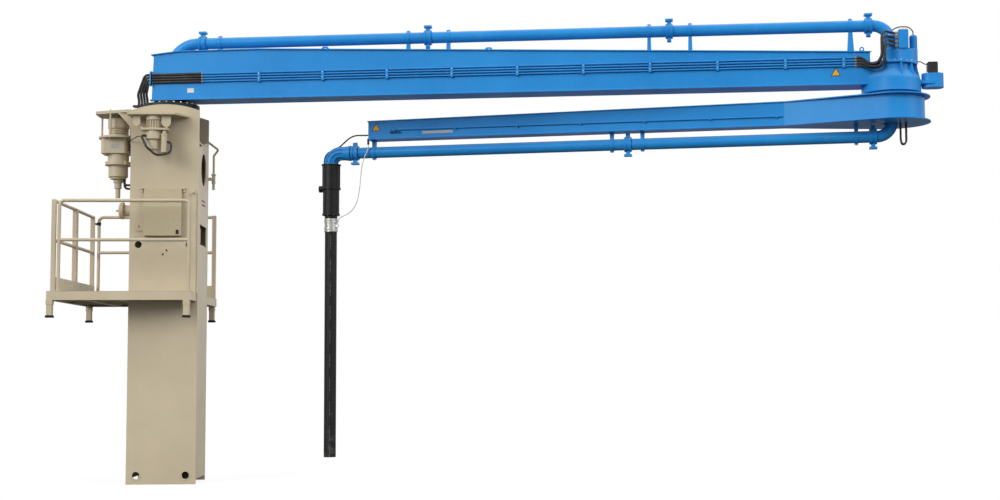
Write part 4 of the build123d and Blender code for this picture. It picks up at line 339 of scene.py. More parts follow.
def concrete_hose(name, mouth):
    """Moulded rubber hose with a worn broken line down its front, and cement splashes near its mouth."""
    material, tree = new_material(name)
    place = add(tree, "ShaderNodeTexCoord").outputs["Object"]
    own = add(tree, "ShaderNodeVectorMath", {0: place, 1: mouth}, operation="SUBTRACT")
    parts = add(tree, "ShaderNodeSeparateXYZ", {0: own})
    # scuffs about 33 mm across leave the rubber a little darker
    mottle = add(tree, "ShaderNodeTexNoise",
                 {"Vector": place, "Scale": cycles(33), "Detail": 4.0, "Roughness": 0.55})
    rubber = add(tree, "ShaderNodeMix", {0: mottle, 6: linear("#141414"), 7: linear("#0e0e0e")},
                 data_type="RGBA")
    # the line: dashes 180 mm long every 300 mm, 6 mm wide, towards the column's front, worn every 25 mm
    off_line = add(tree, "ShaderNodeMath", {0: parts.outputs["X"]}, operation="ABSOLUTE")
    narrow = add(tree, "ShaderNodeMapRange", {0: off_line, 1: 0.002, 2: 0.004, 3: 1.0, 4: 0.0})
    front = add(tree, "ShaderNodeMapRange", {0: parts.outputs["Y"], 1: -0.01, 2: 0.0, 3: 1.0, 4: 0.0})
    phase = add(tree, "ShaderNodeMath", {0: parts.outputs["Z"], 1: 0.15}, operation="PINGPONG")
    dash = add(tree, "ShaderNodeMapRange", {0: phase, 1: 0.085, 2: 0.095, 3: 1.0, 4: 0.0})
    rubbed = add(tree, "ShaderNodeTexNoise",
                 {"Vector": place, "Scale": cycles(25), "Detail": 3.0, "Roughness": 0.55})
    line = add(tree, "ShaderNodeMapRange", {0: rubbed, 1: 0.40, 2: 0.60, 3: 0.05, 4: 0.40})
    for mask in (narrow, front, dash):
        line = add(tree, "ShaderNodeMath", {0: line, 1: mask}, operation="MULTIPLY")
    marked = add(tree, "ShaderNodeMix", {0: line, 6: rubber, 7: linear("#a9a79f")}, data_type="RGBA")
    # splashes about 70 mm across, which thin out over the lowest 0.9 m
    near_mouth = add(tree, "ShaderNodeMapRange", {0: parts.outputs["Z"], 1: 0.0, 2: 0.9, 3: 0.5, 4: 0.03})
    drops = add(tree, "ShaderNodeTexNoise",
                {"Vector": place, "Scale": cycles(71), "Detail": 6.0, "Roughness": 0.7})
    spots = add(tree, "ShaderNodeMapRange", {0: drops, 1: 0.52, 2: 0.66})
    splash = add(tree, "ShaderNodeMath", {0: near_mouth, 1: spots}, operation="MULTIPLY")
    colours = add(tree, "ShaderNodeMix", {0: splash, 6: marked, 7: linear("#6d6b66")}, data_type="RGBA")
    rough = add(tree, "ShaderNodeMapRange", {0: splash, 1: 0.0, 2: 0.5, 3: 0.5, 4: 0.8})
    # the mould's own pits are about 1 mm across, drawn at 6 mm so that they show
    grain = add(tree, "ShaderNodeTexNoise",
                {"Vector": place, "Scale": cycles(6.25), "Detail": 2.0, "Roughness": 0.55})
    surface(tree, colours, rough, grain, 1.0, 0.25, {"Specular IOR Level": 0.25})
    return material


def zinc(name):
    """Electroplated zinc: bright and slightly uneven, duller where it has weathered."""
    material, tree = new_material(name)
    place = add(tree, "ShaderNodeTexCoord").outputs["Object"]
    # it dulls in patches about 29 mm across, wider than a bolt, so that no two bolts are alike
    dull = add(tree, "ShaderNodeTexNoise",
               {"Vector": place, "Scale": cycles(29), "Detail": 5.0, "Roughness": 0.55})
    colours = add(tree, "ShaderNodeMix", {0: dull, 6: linear("#c9c9c4"), 7: linear("#8f8f8a")},
                  data_type="RGBA")
    rough = add(tree, "ShaderNodeMapRange", {0: dull, 1: 0.3, 2: 0.7, 3: 0.28, 4: 0.5})
    # the plating's grain is far under 1 mm, drawn at 3 mm so that its glints show
    grain = add(tree, "ShaderNodeTexNoise",
                {"Vector": place, "Scale": cycles(3.3), "Detail": 2.0, "Roughness": 0.55})
    surface(tree, colours, rough, grain, 0.4, 0.15, {"Metallic": 0.85})
    return material


FINISHES = {
    # column and platform, sprayed and chalked by weather: a warm beige with a broad weak sheen
    "beige_paint": enamel("beige alkyd enamel", "#c2b499", "#b9ab90", "#cbc4b3",
                          roughness=0.46, coat=0.03, dusted=0.5, specular=0.35),
    # the walkways, walked dull: the same beige gone grey with cement dust
    "beige_floor": enamel("beige enamel on tread plate", "#b0a489", "#9e9278", "#aaa498",
                          roughness=0.58, coat=0.0, dusted=0.8, specular=0.35),
    # the lid, in newer paint: a tighter sheen along its slope
    "beige_lid": enamel("beige gloss enamel", "#b4a688", "#ac9e80", "#beb7a6",
                        roughness=0.28, coat=0.15, dusted=0.3, specular=0.35),
    # both arms and the delivery line, sprayed: a deep even blue with soft highlights along the pipes
    "blue_paint": enamel("blue two-pack enamel", "#288cd2", "#2283c9", "#b9b4a8",
                         roughness=0.36, coat=0.02, dusted=0.3, specular=0.15),
    # hydraulic hoses, cured in a wrap: dull black with a dusty cast and a fine cloth print
    "black_rubber": wrapped_hose("black wrapped rubber", "#1b1b1b", "#121212"),
    # motor cover, cable glands and the lid's latch, moulded: a faint violet black with a satin sheen
    "black_plastic": plain("black moulded polyamide", "#2a282d", "#212024", 0.42, patch_mm=83, bump=0.1),
    # pinch valve, gate latch and arm 2's handle, sprayed: so dark that only its edges catch light
    "black_steel": plain("black enamel on steel", "#111111", "#0b0b0b", 0.45, patch_mm=100, bump=0.1),
    # hand valves, hose fittings, lock cylinder and hose bands, electroplated: bright, cool, slightly cloudy
    "steel": zinc("zinc plated steel"),
    # the safety cable's sheath, extruded: pale grey and smooth
    "grey_pvc": plain("pale PVC sheath", "#d8d9d6", "#c9cac8", 0.48, patch_mm=17, bump=0.05),
    # bolts and washers, electroplated: small bright points
    "bolt": zinc("zinc plated bolts"),
    # the legs' pads, moulded: dead matt black
    "rubber_pad": plain("black moulded rubber", "#191919", "#101010", 0.75, patch_mm=40, bump=0.4),
    # the valve cable's sheath, extruded: black and smooth
    "black_pvc": plain("black PVC sheath", "#1a1a1b", "#131314", 0.45, patch_mm=17, bump=0.05),
    # the end hose, moulded: black with a pale worn line, greyer towards its mouth
    "end_hose": concrete_hose("black moulded hose rubber", at_height(outlet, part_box("end_hose")[0].z)),
    # the turntable over the slewing ring, near black: a painted shade that stands for the shadow under the
    # arm's root
    "shade_near_black": plain("near black paint as painted shade", "#262a2e", "#1a1c1f", 0.5, patch_mm=111, bump=0.15),
    # sign foils, printed vinyl: flat clear colour with hardly any sheen
    "sign_yellow": plain("yellow vinyl foil", "#e0a92e", "#d79d25", 0.4, patch_mm=56, bump=0.02),
    "sign_black": plain("black vinyl foil", "#1b1b1b", "#141414", 0.4, patch_mm=56, bump=0.02),
    "sign_pale": plain("pale vinyl foil", "#d5d6d3", "#c9cac6", 0.4, patch_mm=56, bump=0.02),
    # rating plates, rolled and anodised: pale grey with a soft sheen
    "aluminium": plain("anodised aluminium", "#a9aaa9", "#999a99", 0.5, patch_mm=20, bump=0.05,
                       metallic=0.15),
}
# the turntable takes the near-black painted shade instead of the arms' blue
OWN_FINISH = {"end_hose": "end_hose", "leg_pads": "rubber_pad", "turntable": "shade_near_black"}
slots = {piece["node"]: piece["material_slot"] for piece in record["subparts"]}
for node_name, node_piece in frame["nodes"].items():
    node_piece.data.materials.clear()
    node_piece.data.materials.append(FINISHES[OWN_FINISH.get(node_name, slots[node_name])])


def declare_cable(name, route, radius, finish_name, node):
    """A hanging cable that rides on arm 2 and stands for its CAD solid."""
    piece = round_cable(name, route, radius)
    piece.data.materials.append(FINISHES[finish_name])
    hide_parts(node)
    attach(piece, "arm_2")


declare_cable("valve_cable_skin", valve_route, 0.009, "black_pvc", "valve_cable")
declare_cable("safety_cable_skin", safety_route, 0.006, "grey_pvc", "safety_cable")


# ------------------------------------------------------------------ building small parts
def hand_over(name, data, body):
    """A finished mesh as a piece that rides on a body."""
    piece = bpy.data.objects.new(name, data)
    scene.collection.objects.link(piece)
    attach(piece, body)


def around(centre, axis, side, radius, count, start=0.0):
    """Points evenly round an axis, the first at a starting angle in degrees from a side."""
    other = axis.cross(side)
    turns = [math.radians(start) + math.tau * i / count for i in range(count)]
    return [centre + side * radius * math.cos(turn) + other * radius * math.sin(turn) for turn in turns]


class Kit:
    """Gathers small solid shapes of one finish into one piece that rides on a body."""

    def __init__(self, name, body, finish_name, slot):
        self.name, self.body, self.finish_name, self.slot = name, body, finish_name, slot
        self.mesh = bmesh.new()

    def loops(self, rings, smooth=False, closed=False):
        """Walls between rings of as many points each, with end faces unless the last joins the first."""
        made = [[self.mesh.verts.new(point) for point in ring] for ring in rings]
        if not closed:
            self.mesh.faces.new(made[0][::-1])
            self.mesh.faces.new(made[-1])
        for near, far in zip(made, made[1:] + (made[:1] if closed else [])):
            for i in range(len(near)):
                j = (i + 1) % len(near)
                self.mesh.faces.new((near[i], near[j], far[j], far[i])).smooth = smooth

    def prism(self, outline, axis, depth):
        """A flat outline pushed along an axis."""
        self.loops([outline, [point + axis * depth for point in outline]])

    def box(self, centre, size, along=RIGHT, up=UP):
        """A box about its centre; size is along, across and up."""
        across = up.cross(along)
        base = centre - up * size[2] / 2
        self.prism([base + along * size[0] / 2 * i + across * size[1] / 2 * j
                    for i, j in ((-1, -1), (1, -1), (1, 1), (-1, 1))], up, size[2])

    def rod(self, start, end, radius, sides=16):
        """A round or many-sided rod."""
        axis = (end - start).normalized()
        side = axis.orthogonal().normalized()
        self.loops([around(point, axis, side, radius, sides) for point in (start, end)], smooth=sides > 8)

    def ring(self, centre, axis, inner, outer, depth, sides=32):
        """A flat ring that starts at its centre point and is as deep as said along its axis."""
        side = axis.orthogonal().normalized()
        profile = ((inner, 0), (outer, 0), (outer, depth), (inner, depth))
        self.loops([around(centre + axis * lift, axis, side, radius, sides) for radius, lift in profile],
                   closed=True)

    def done(self):
        """Hands the piece over."""
        bmesh.ops.recalc_face_normals(self.mesh, faces=self.mesh.faces)
        data = bpy.data.meshes.new(self.name)
        self.mesh.to_mesh(data)
        self.mesh.free()
        data.materials.append(FINISHES[self.finish_name])
        hand_over(self.name, data, self.body)


def new_tree(name, sockets):
    """A geometry tree with named inputs after the geometry, and its input node."""
    tree = bpy.data.node_groups.new(name, "GeometryNodeTree")
    for socket_name, kind in (("Geometry", "NodeSocketGeometry"), *sockets):
        tree.interface.new_socket(socket_name, in_out="INPUT", socket_type=kind)
    tree.interface.new_socket("Geometry", in_out="OUTPUT", socket_type="NodeSocketGeometry")
    return tree, add(tree, "NodeGroupInput")


def end_tree(tree, group, placed):
    """Makes the instances real, gives them their finish and ends the tree."""
    real = add(tree, "GeometryNodeRealizeInstances", {"Geometry": placed})
    finished = add(tree, "GeometryNodeSetMaterial", {"Geometry": real, "Material": group.outputs["Finish"]})
    add(tree, "NodeGroupOutput", {"Geometry": finished})


def bolt_tree():
    """Hexagon bolts on washers; each point's axis and size turn and scale its bolt, and chance spins it."""
    tree, group = new_tree("bolts on points", (
        ("Washer Radius", "NodeSocketFloat"), ("Washer Height", "NodeSocketFloat"),
        ("Head Radius", "NodeSocketFloat"), ("Head Height", "NodeSocketFloat"),
        ("Seed", "NodeSocketInt"), ("Finish", "NodeSocketMaterial")))
    bolt = add(tree, "GeometryNodeJoinGeometry")
    seat = 0.0
    for part, sides in (("Washer", 14), ("Head", 6)):
        radius, height = group.outputs[part + " Radius"], group.outputs[part + " Height"]
        disc = add(tree, "GeometryNodeMeshCylinder", {"Vertices": sides, "Radius": radius, "Depth": height})
        lift = add(tree, "ShaderNodeMath", {0: height, 1: 0.5, 2: seat}, operation="MULTIPLY_ADD")
        upward = add(tree, "ShaderNodeCombineXYZ", {"Z": lift})
        lifted = add(tree, "GeometryNodeTransform", {"Geometry": disc, "Translation": upward})
        tree.links.new(lifted.outputs["Geometry"], bolt.inputs["Geometry"])
        seat = height       # the head stands on the washer
    axis = add(tree, "GeometryNodeInputNamedAttribute", {"Name": "axis"}, data_type="FLOAT_VECTOR")
    size = add(tree, "GeometryNodeInputNamedAttribute", {"Name": "size"}, data_type="FLOAT")
    spin = add(tree, "FunctionNodeRandomValue", {2: 0.0, 3: math.pi / 3, "Seed": group.outputs["Seed"]},
               data_type="FLOAT")
    spun = add(tree, "FunctionNodeAxisAngleToRotation", {"Axis": (0, 0, 1), "Angle": spin})
    turned = add(tree, "FunctionNodeAlignRotationToVector", {"Rotation": spun, "Vector": axis}, axis="Z")
    placed = add(tree, "GeometryNodeInstanceOnPoints", {
        "Points": group.outputs["Geometry"], "Instance": bolt, "Rotation": turned, "Scale": size})
    end_tree(tree, group, placed)
    return tree


def tread_tree():
    """Raised lozenges of tread plate over a rectangle with a rectangular hole, turned this way and that."""
    tree, group = new_tree("tread lozenges", (
        ("Length", "NodeSocketFloat"), ("Depth", "NodeSocketFloat"), ("Columns", "NodeSocketInt"),
        ("Rows", "NodeSocketInt"), ("Hole", "NodeSocketVector"), ("Hole Middle", "NodeSocketVector"),
        ("Lozenge", "NodeSocketVector"), ("Finish", "NodeSocketMaterial")))
    grid = add(tree, "GeometryNodeMeshGrid", {
        "Size X": group.outputs["Length"], "Size Y": group.outputs["Depth"],
        "Vertices X": group.outputs["Columns"], "Vertices Y": group.outputs["Rows"]})
    # drop the points in the hole, whose half sizes are Hole
    point = add(tree, "GeometryNodeInputPosition")
    off = add(tree, "ShaderNodeVectorMath", {0: point, 1: group.outputs["Hole Middle"]},
              operation="SUBTRACT")
    far = add(tree, "ShaderNodeVectorMath", {0: off}, operation="ABSOLUTE")
    past = add(tree, "ShaderNodeVectorMath", {0: far, 1: group.outputs["Hole"]}, operation="SUBTRACT")
    parts = add(tree, "ShaderNodeSeparateXYZ", {0: past})
    outer = add(tree, "ShaderNodeMath", {0: parts.outputs["X"], 1: parts.outputs["Y"]}, operation="MAXIMUM")
    inside = add(tree, "FunctionNodeCompare", {0: outer, 1: 0.0}, data_type="FLOAT", operation="LESS_THAN")
    kept = add(tree, "GeometryNodeDeleteGeometry", {"Geometry": grid, "Selection": inside})
    # every other point turns its lozenge the other way
    odd = add(tree, "ShaderNodeMath", {0: add(tree, "GeometryNodeInputIndex"), 1: 2.0}, operation="MODULO")
    angle = add(tree, "ShaderNodeMath", {0: odd, 1: math.pi / 2, 2: math.pi / 4}, operation="MULTIPLY_ADD")
    turn = add(tree, "FunctionNodeAxisAngleToRotation", {"Axis": (0, 0, 1), "Angle": angle})
    # a flat-topped lozenge, which Lozenge scales from half a length and half a breadth of 1
    lozenge = add(tree, "GeometryNodeMeshCone",
                  {"Vertices": 4, "Radius Top": 0.45, "Radius Bottom": 1.0, "Depth": 0.12})
    placed = add(tree, "GeometryNodeInstanceOnPoints", {
        "Points": kept, "Instance": lozenge, "Rotation": turn, "Scale": group.outputs["Lozenge"]})
    end_tree(tree, group, placed)
    return tree


def grow(name, body, base, tree, values, lift=Vector()):
    """Runs a tree over a base mesh with named inputs, and keeps its result as one plain mesh on a body."""
    carrier = bpy.data.objects.new(name + "_base", base)
    scene.collection.objects.link(carrier)
    modifier = carrier.modifiers.new("grow", "NODES")
    modifier.node_group = tree
    sockets = {item.name: item.identifier for item in tree.interface.items_tree
               if item.item_type == "SOCKET" and item.in_out == "INPUT"}
    for socket_name, value in values.items():
        modifier[sockets[socket_name]] = value
    bpy.context.view_layer.update()
    grown = carrier.evaluated_get(bpy.context.evaluated_depsgraph_get())
    data = bpy.data.meshes.new_from_object(grown)
    carrier.modifiers.remove(modifier)
    bpy.data.objects.remove(carrier)
    data.transform(Matrix.Translation(lift))
    hand_over(name, data, body)


BOLTS = bolt_tree()
# in nominal sizes; the head's radius is to its corners
BOLT_SHAPE = {"Washer Radius": 1.05, "Washer Height": 0.18, "Head Radius": 0.87, "Head Height": 0.64}


def bolts(name, body, places, seed):
    """Zinc plated bolts at (point, axis, nominal size in metres)."""
    base = bpy.data.meshes.new(name + "_points")
    base.from_pydata([tuple(point) for point, axis, size in places], [], [])
    base.attributes.new("axis", "FLOAT_VECTOR", "POINT")
    base.attributes.new("size", "FLOAT", "POINT")
    # found by name, because adding the second one moves the first
    for i, (point, axis, size) in enumerate(places):
        base.attributes["axis"].data[i].vector = axis
        base.attributes["size"].data[i].value = size
    grow(name, body, base, BOLTS, {**BOLT_SHAPE, "Seed": seed, "Finish": FINISHES["bolt"]})


def circle(centre, axis, radius, count, size, start=0.0):
    """Bolt places on a circle about an upright axis; the starting angle is counted from the right."""
    return [(point, axis, size) for point in around(centre, axis, RIGHT, radius, count, start)]


def corners(centre, along, across, half_length, half_breadth):
    """The four corners of a rectangle about its centre."""
    return [centre + along * half_length * i + across * half_breadth * j for i in (-1, 1) for j in (-1, 1)]


# ------------------------------------------------------------------ bolts on the column
FINE, SMALL, MEDIUM, LARGE = 0.006, 0.007, 0.010, 0.014     # nominal sizes

# left drive: tie rods' nuts over its plate and under its flange, and the motor's lugs
TIE_ROD_RING, TIE_RODS, FLANGE_UP = 0.205, 5, 0.188
LUG_RING, LUGS, LUG_DOWN = 0.145, 4, 0.099
left_axis = middle("left_drive_gearbox")
gear_case_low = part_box("left_drive_gearbox")[0].z
plate_top = at_height(left_axis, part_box("left_drive_plate")[1].z)
flange_foot = at_height(left_axis, gear_case_low + FLANGE_UP)
lug_top = at_height(left_axis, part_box("left_drive_motor")[1].z - LUG_DOWN)
column_bolts = circle(plate_top, UP, TIE_ROD_RING, TIE_RODS, LARGE, 180)
column_bolts += circle(flange_foot, DOWN, TIE_ROD_RING, TIE_RODS, LARGE, 180)
column_bolts += circle(lug_top, UP, LUG_RING, LUGS, MEDIUM, 45)

# front drive: the four corners of its flange, from above
FLANGE_X, FLANGE_Y, FLANGE_THICK = -0.090, -0.540, 0.022
FLANGE_HALF_LENGTH, FLANGE_HALF_BREADTH = 0.150, 0.074
front_flange = Vector((FLANGE_X, FLANGE_Y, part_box("front_drive_motor")[1].z + FLANGE_THICK))
column_bolts += [(place, UP, MEDIUM)
                 for place in corners(front_flange, RIGHT, FRONT, FLANGE_HALF_LENGTH, FLANGE_HALF_BREADTH)]

# front rail: its foot plates on the floor
FOOT_THICK, FOOT_INSET, FOOT_HALF_LENGTH, FOOT_HALF_BREADTH = 0.008, 0.035, 0.027, 0.024
rail_low, rail_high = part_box("front_railing")
floor_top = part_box("platform_floor")[1].z
for post_x in (rail_low.x + FOOT_INSET, rail_high.x - FOOT_INSET):
    foot = Vector((post_x, (rail_low.y + rail_high.y) / 2, floor_top + FOOT_THICK))
    column_bolts += [(place, UP, FINE)
                     for place in corners(foot, RIGHT, FRONT, FOOT_HALF_LENGTH, FOOT_HALF_BREADTH)]

# left toe board: a row on its inner face
BOARD_BOLTS, BOARD_THICK, BOARD_INSET, BOARD_DOWN = 7, 0.005, 0.16, 0.045
board_low, board_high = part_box("toe_boards")
row_start, row_end = board_low.y + BOARD_INSET, board_high.y - BOARD_INSET
for i in range(BOARD_BOLTS):
    place = Vector((board_low.x + BOARD_THICK, row_start + (row_end - row_start) * i / (BOARD_BOLTS - 1),
                    board_high.z - BOARD_DOWN))
    column_bolts.append((place, RIGHT, SMALL))
bolts("column_bolts", "column", column_bolts, 1)

# ------------------------------------------------------------------ bolts on the boom
# turntable: a ring on its disc, left out where the hoses land behind it
DISC_TOP, DISC_RING, DISC_BOLTS = 4.645, 0.333, 24
HOSES_S, HOSES_Y = -0.18, -0.04
boom_bolts = [place for place in circle(at_height(boom.start, DISC_TOP), UP, DISC_RING, DISC_BOLTS, LARGE)
              if not (place[0] @ boom.along < HOSES_S and place[0] @ boom.across < HOSES_Y)]

# tube clamps: two bolts on the face of each
CLAMP_FIRST, CLAMP_PITCH, CLAMP_COUNT, CLAMP_LAST = 1.168, 0.797, 9, 8.221
CLAMP_FACE, CLAMP_BOLT_IN = -0.195, 0.036
tube_low, tube_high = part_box("hydraulic_tubes")
for s in (*[CLAMP_FIRST + CLAMP_PITCH * i for i in range(CLAMP_COUNT)], CLAMP_LAST):
    for z in (tube_low.z + CLAMP_BOLT_IN, tube_high.z - CLAMP_BOLT_IN):
        boom_bolts.append((boom.at(s, CLAMP_FACE, z), -boom.across, SMALL))

# elbow: its cap, the gear drum clear of the block and the motor, the collar and the motor's foot
CAP_RING, CAP_BOLTS = 0.290, 24
DRUM_S, DRUM_TOP, DRUM_RING, DRUM_BOLTS = 8.935, 5.115, 0.154, 14
BLOCK_S, BLOCK_Y, BLOCK_ROOM = 8.920, -0.150, 0.085
MOTOR_S, MOTOR_ROOM, MOTOR_FOOT_HALF, MOTOR_FOOT_THICK = 9.058, 0.062, 0.071, 0.001
COLLAR_RING, COLLAR_BOLTS, COLLAR_SIZE = 0.096, 16, 0.0085
cap_top = at_height(elbow_place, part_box("elbow_housing")[1].z)
collar_top = at_height(elbow_place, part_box("elbow_collar")[1].z)
motor_foot = at_height(middle("elbow_motor"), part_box("elbow_motor")[0].z + MOTOR_FOOT_THICK)
block, motor = boom.at(BLOCK_S, BLOCK_Y, DRUM_TOP), boom.at(MOTOR_S, 0, DRUM_TOP)
boom_bolts += circle(cap_top, UP, CAP_RING, CAP_BOLTS, MEDIUM, 7.5)
boom_bolts += [place for place in circle(boom.at(DRUM_S, 0, DRUM_TOP), UP, DRUM_RING, DRUM_BOLTS, MEDIUM)
               if (place[0] - block).length > BLOCK_ROOM and (place[0] - motor).length > MOTOR_ROOM]
boom_bolts += circle(collar_top, UP, COLLAR_RING, COLLAR_BOLTS, COLLAR_SIZE)
boom_bolts += [(place, UP, SMALL)
               for place in corners(motor_foot, boom.along, boom.across, MOTOR_FOOT_HALF, MOTOR_FOOT_HALF)]

# delivery line: one bolt on each strap
STRAPS_1 = (0.620, 2.997, 3.494, 5.942, 6.434, 8.328)
boom_bolts += [(boom.at(s, 0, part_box("pipe_1_supports")[1].z), UP, MEDIUM) for s in STRAPS_1]
bolts("boom_bolts", "boom", boom_bolts, 2)

# ------------------------------------------------------------------ bolts on arm 2
# the pinch valve's upper flange from above and its lower one from below, and the line's straps
STRAPS_2 = (0.415, 2.955, 3.329, 6.348)
UPPER_RING, LOWER_RING, LOWER_UP, VALVE_BOLTS = 0.113, 0.096, 0.041, 8
valve_low, valve_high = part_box("pinch_valve")
upper_flange = at_height(middle("end_hose"), valve_high.z)
lower_flange = at_height(middle("end_hose"), valve_low.z + LOWER_UP)
fold_bolts = circle(upper_flange, UP, UPPER_RING, VALVE_BOLTS, SMALL, 22.5)
fold_bolts += circle(lower_flange, DOWN, LOWER_RING, VALVE_BOLTS, SMALL, 22.5)
fold_bolts += [(fold.at(s, 0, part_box("pipe_2_supports")[0].z), DOWN, MEDIUM) for s in STRAPS_2]
bolts("arm_2_bolts", "arm_2", fold_bolts, 3)

# ------------------------------------------------------------------ tread plate
LOZENGE_PITCH, TREAD_MARGIN, COLUMN_GAP = 0.040, 0.036, 0.020
LOZENGE = (0.013, 0.0045, 0.013)    # 26 mm long, 9 mm wide and 1.6 mm high
margin = Vector((TREAD_MARGIN, TREAD_MARGIN, 0))
tread_low, tread_high = at_height(board_low, floor_top) + margin, at_height(board_high, floor_top) - margin
tread_size, tread_middle = tread_high - tread_low, (tread_low + tread_high) / 2
column_low, column_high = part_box("column")
column_half = (column_high - column_low) / 2
# odd counts, so that neighbours across the rows alternate too
columns = 2 * round(tread_size.x / LOZENGE_PITCH / 2) + 1
rows = 2 * round(tread_size.y / LOZENGE_PITCH / 2) + 1
grow("floor_lozenges", "column", bpy.data.meshes.new("floor_lozenges_base"), tread_tree(), {
    "Length": tread_size.x, "Depth": tread_size.y, "Columns": columns, "Rows": rows,
    "Hole": (column_half.x + COLUMN_GAP, column_half.y + 3 * COLUMN_GAP, 0.0),
    "Hole Middle": tuple(middle("column") - tread_middle), "Lozenge": LOZENGE,
    "Finish": FINISHES["beige_floor"]}, tread_middle)

# ------------------------------------------------------------------ hose fittings, all hexagonal
HOSES, HEXAGON = 4, 6
TUBE_ENDS, TUBE_LINE, TUBE_UP, TUBE_PITCH, TUBE_NUT = (0.440, 8.370), -0.182, 0.020, 0.032, 0.0145
LANDING_S, LANDING_Y, LANDING_PITCH, LANDING_NUT = -0.268, -0.110, 0.036, 0.0155
PORT_S, PORT_Z, PORT_PITCH, PORT_NUT = 8.865, 5.151, 0.050, 0.019
PLUGS, PLUG_LENGTH, PLUG_NUT = (8.890, 8.920, 8.950), 0.018, 0.010
FITTING_LENGTH = 0.042
fittings = Kit("hose_fittings", "boom", "steel", "steel")
half_fitting = boom.along * FITTING_LENGTH / 2
for i in range(HOSES):
    # both ends of the tube, the landing behind the turntable, and the port on the elbow's block
    for s in TUBE_ENDS:
        tube_end = boom.at(s, TUBE_LINE, tube_low.z + TUBE_UP + TUBE_PITCH * i)
        fittings.rod(tube_end - half_fitting, tube_end + half_fitting, TUBE_NUT, HEXAGON)
    landing = boom.at(LANDING_S - LANDING_PITCH * i, LANDING_Y, DISC_TOP)
    fittings.rod(landing, landing + UP * FITTING_LENGTH, LANDING_NUT, HEXAGON)
    port = boom.at(PORT_S, BLOCK_Y, PORT_Z + PORT_PITCH * i)
    fittings.rod(port, port - boom.along * FITTING_LENGTH, PORT_NUT, HEXAGON)
for s in PLUGS:
    plug = boom.at(s, BLOCK_Y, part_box("elbow_drive")[1].z)
    fittings.rod(plug, plug + UP * PLUG_LENGTH, PLUG_NUT, HEXAGON)
fittings.done()

# ------------------------------------------------------------------ welds between webs and lower flanges
BEAD = 0.006                    # leg of a fillet weld
WEB_1, WEB_2 = 0.165, 0.105     # from an arm's middle to its webs' faces
for name, body, arm, start, end, web, z in (("boom_welds", "boom", boom, 0.40, 8.30, WEB_1, 4.705),
                                            ("arm_2_welds", "arm_2", fold, 1.30, 6.38, WEB_2, 4.262)):
    beads = Kit(name, body, "blue_paint", "blue_paint")
    for y in (-web, web):
        beads.rod(arm.at(start, y, z), arm.at(end, y, z), BEAD, 8)
    beads.done()

# ------------------------------------------------------------------ signs, plates and small trim, all blank
FOIL, PLATE = 0.0012, 0.002     # thicknesses

# a warning triangle on each arm: a black rim, and a smaller yellow face on it
for body, place, along, normal in (("boom", boom.at(8.13, -WEB_1, 4.835), boom.along, -boom.across),
                                   ("arm_2", fold.at(6.295, WEB_2, 4.390), fold.along, fold.across)):
    for part, finish_name, side, lift in (("rim", "sign_black", 0.118, 0),
                                          ("face", "sign_yellow", 0.092, FOIL)):
        height = side * math.sqrt(3) / 2
        sign = Kit(f"{body}_sign_{part}", body, finish_name, "black_plastic")
        sign.prism([place + along * x + UP * z + normal * lift
                    for x, z in ((-side / 2, -height / 3), (side / 2, -height / 3), (0, height * 2 / 3))],
                   normal, FOIL)
        sign.done()

# a foil at the boom's root, a plate on arm 2's web, and the left drive's plate on its gear case
CASE_FRONT, CASE_PLATE_UP, CASE_PLATE_LEFT = 0.150, 0.088, 0.014
case_front = at_height(left_axis, gear_case_low + CASE_PLATE_UP) + FRONT * (CASE_FRONT + PLATE / 2)
for name, body, finish_name, slot, centre, length, breadth, thick, along, normal in (
    ("boom_label", "boom", "sign_pale", "black_plastic", boom.at(0.30, -WEB_1 - FOIL / 2, 4.81),
     0.085, 0.055, FOIL, boom.along, -boom.across),
    ("arm_2_plate", "arm_2", "aluminium", "steel", fold.at(5.505, WEB_2 + PLATE / 2, 4.32),
     0.39, 0.032, PLATE, fold.along, fold.across),
    ("drive_plate", "column", "aluminium", "steel", case_front - RIGHT * CASE_PLATE_LEFT,
     0.096, 0.060, PLATE, RIGHT, FRONT),
):
    plate = Kit(name, body, finish_name, slot)
    plate.box(centre, (length, breadth, thick), along, normal)
    plate.done()

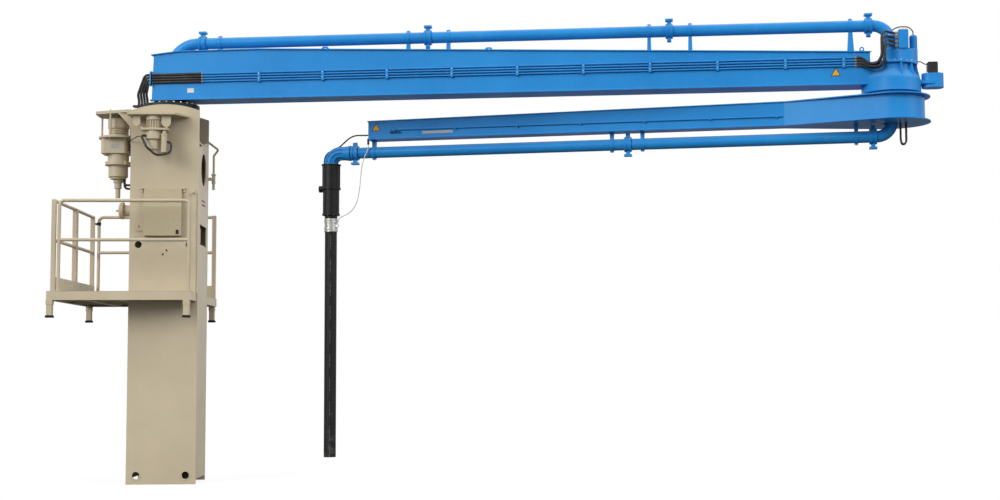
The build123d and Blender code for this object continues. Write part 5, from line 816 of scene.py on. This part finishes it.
# handle on arm 2's web, beside the conduit's end
HANDLE_ENDS, HANDLE_Z, HANDLE_RADIUS = (5.985, 6.105), 4.330, 0.006
stand_off = fold.across * 0.032
handle = Kit("arm_2_handle", "arm_2", "black_steel", "black_steel")
near_end, far_end = [fold.at(s, WEB_2, HANDLE_Z) for s in HANDLE_ENDS]
for end in (near_end, far_end):
    handle.rod(end, end + stand_off, HANDLE_RADIUS, 10)
handle.rod(near_end + stand_off - fold.along * HANDLE_RADIUS,
           far_end + stand_off + fold.along * HANDLE_RADIUS, HANDLE_RADIUS, 10)
handle.done()

# raised rims of the holes for the column's foot pins
PIN_HOLE, PIN_RIM, PIN_RIM_HIGH = 0.045, 0.062, 0.004
pin_rings = Kit("foot_pin_rings", "column", "beige_paint", "beige_paint")
for mount in record["mounts"]:
    if mount["name"].startswith("foot_pin"):
        pin = Vector(mount["pos_m"])
        pin_rings.ring(Vector((pin.x, column_low.y, pin.z)), FRONT, PIN_HOLE, PIN_RIM, PIN_RIM_HIGH)
pin_rings.done()

# the lid's latch: a case with a round button that stands out in front of it
LATCH_X, LATCH_UP, LATCH_OUT = 0.171, 0.045, 0.004
BUTTON_UP, BUTTON_OUT, BUTTON_RADIUS = 0.007, 0.010, 0.009
lid_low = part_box("cabinet_lid")[0]
latch = Kit("lid_latch", "lid", "black_plastic", "black_plastic")
latch_place = Vector((LATCH_X, lid_low.y - LATCH_OUT, lid_low.z + LATCH_UP))
latch.box(latch_place, (0.032, 0.010, 0.050))
button = latch_place + UP * BUTTON_UP
latch.rod(button, button + FRONT * BUTTON_OUT, BUTTON_RADIUS)
latch.done()

# the clamp's screws lie across the front of the hose's two bands
SCREW_LENGTH, SCREW_RADIUS, SCREW_Y, SCREW_HEIGHTS = 0.044, 0.006, 0.088, (3.241, 3.130)
screws = Kit("band_screws", "arm_2", "steel", "steel")
for z in SCREW_HEIGHTS:
    start = fold.at(fold.reach - SCREW_LENGTH / 2, SCREW_Y, z)
    screws.rod(start, start + fold.along * SCREW_LENGTH, SCREW_RADIUS, 8)
screws.done()
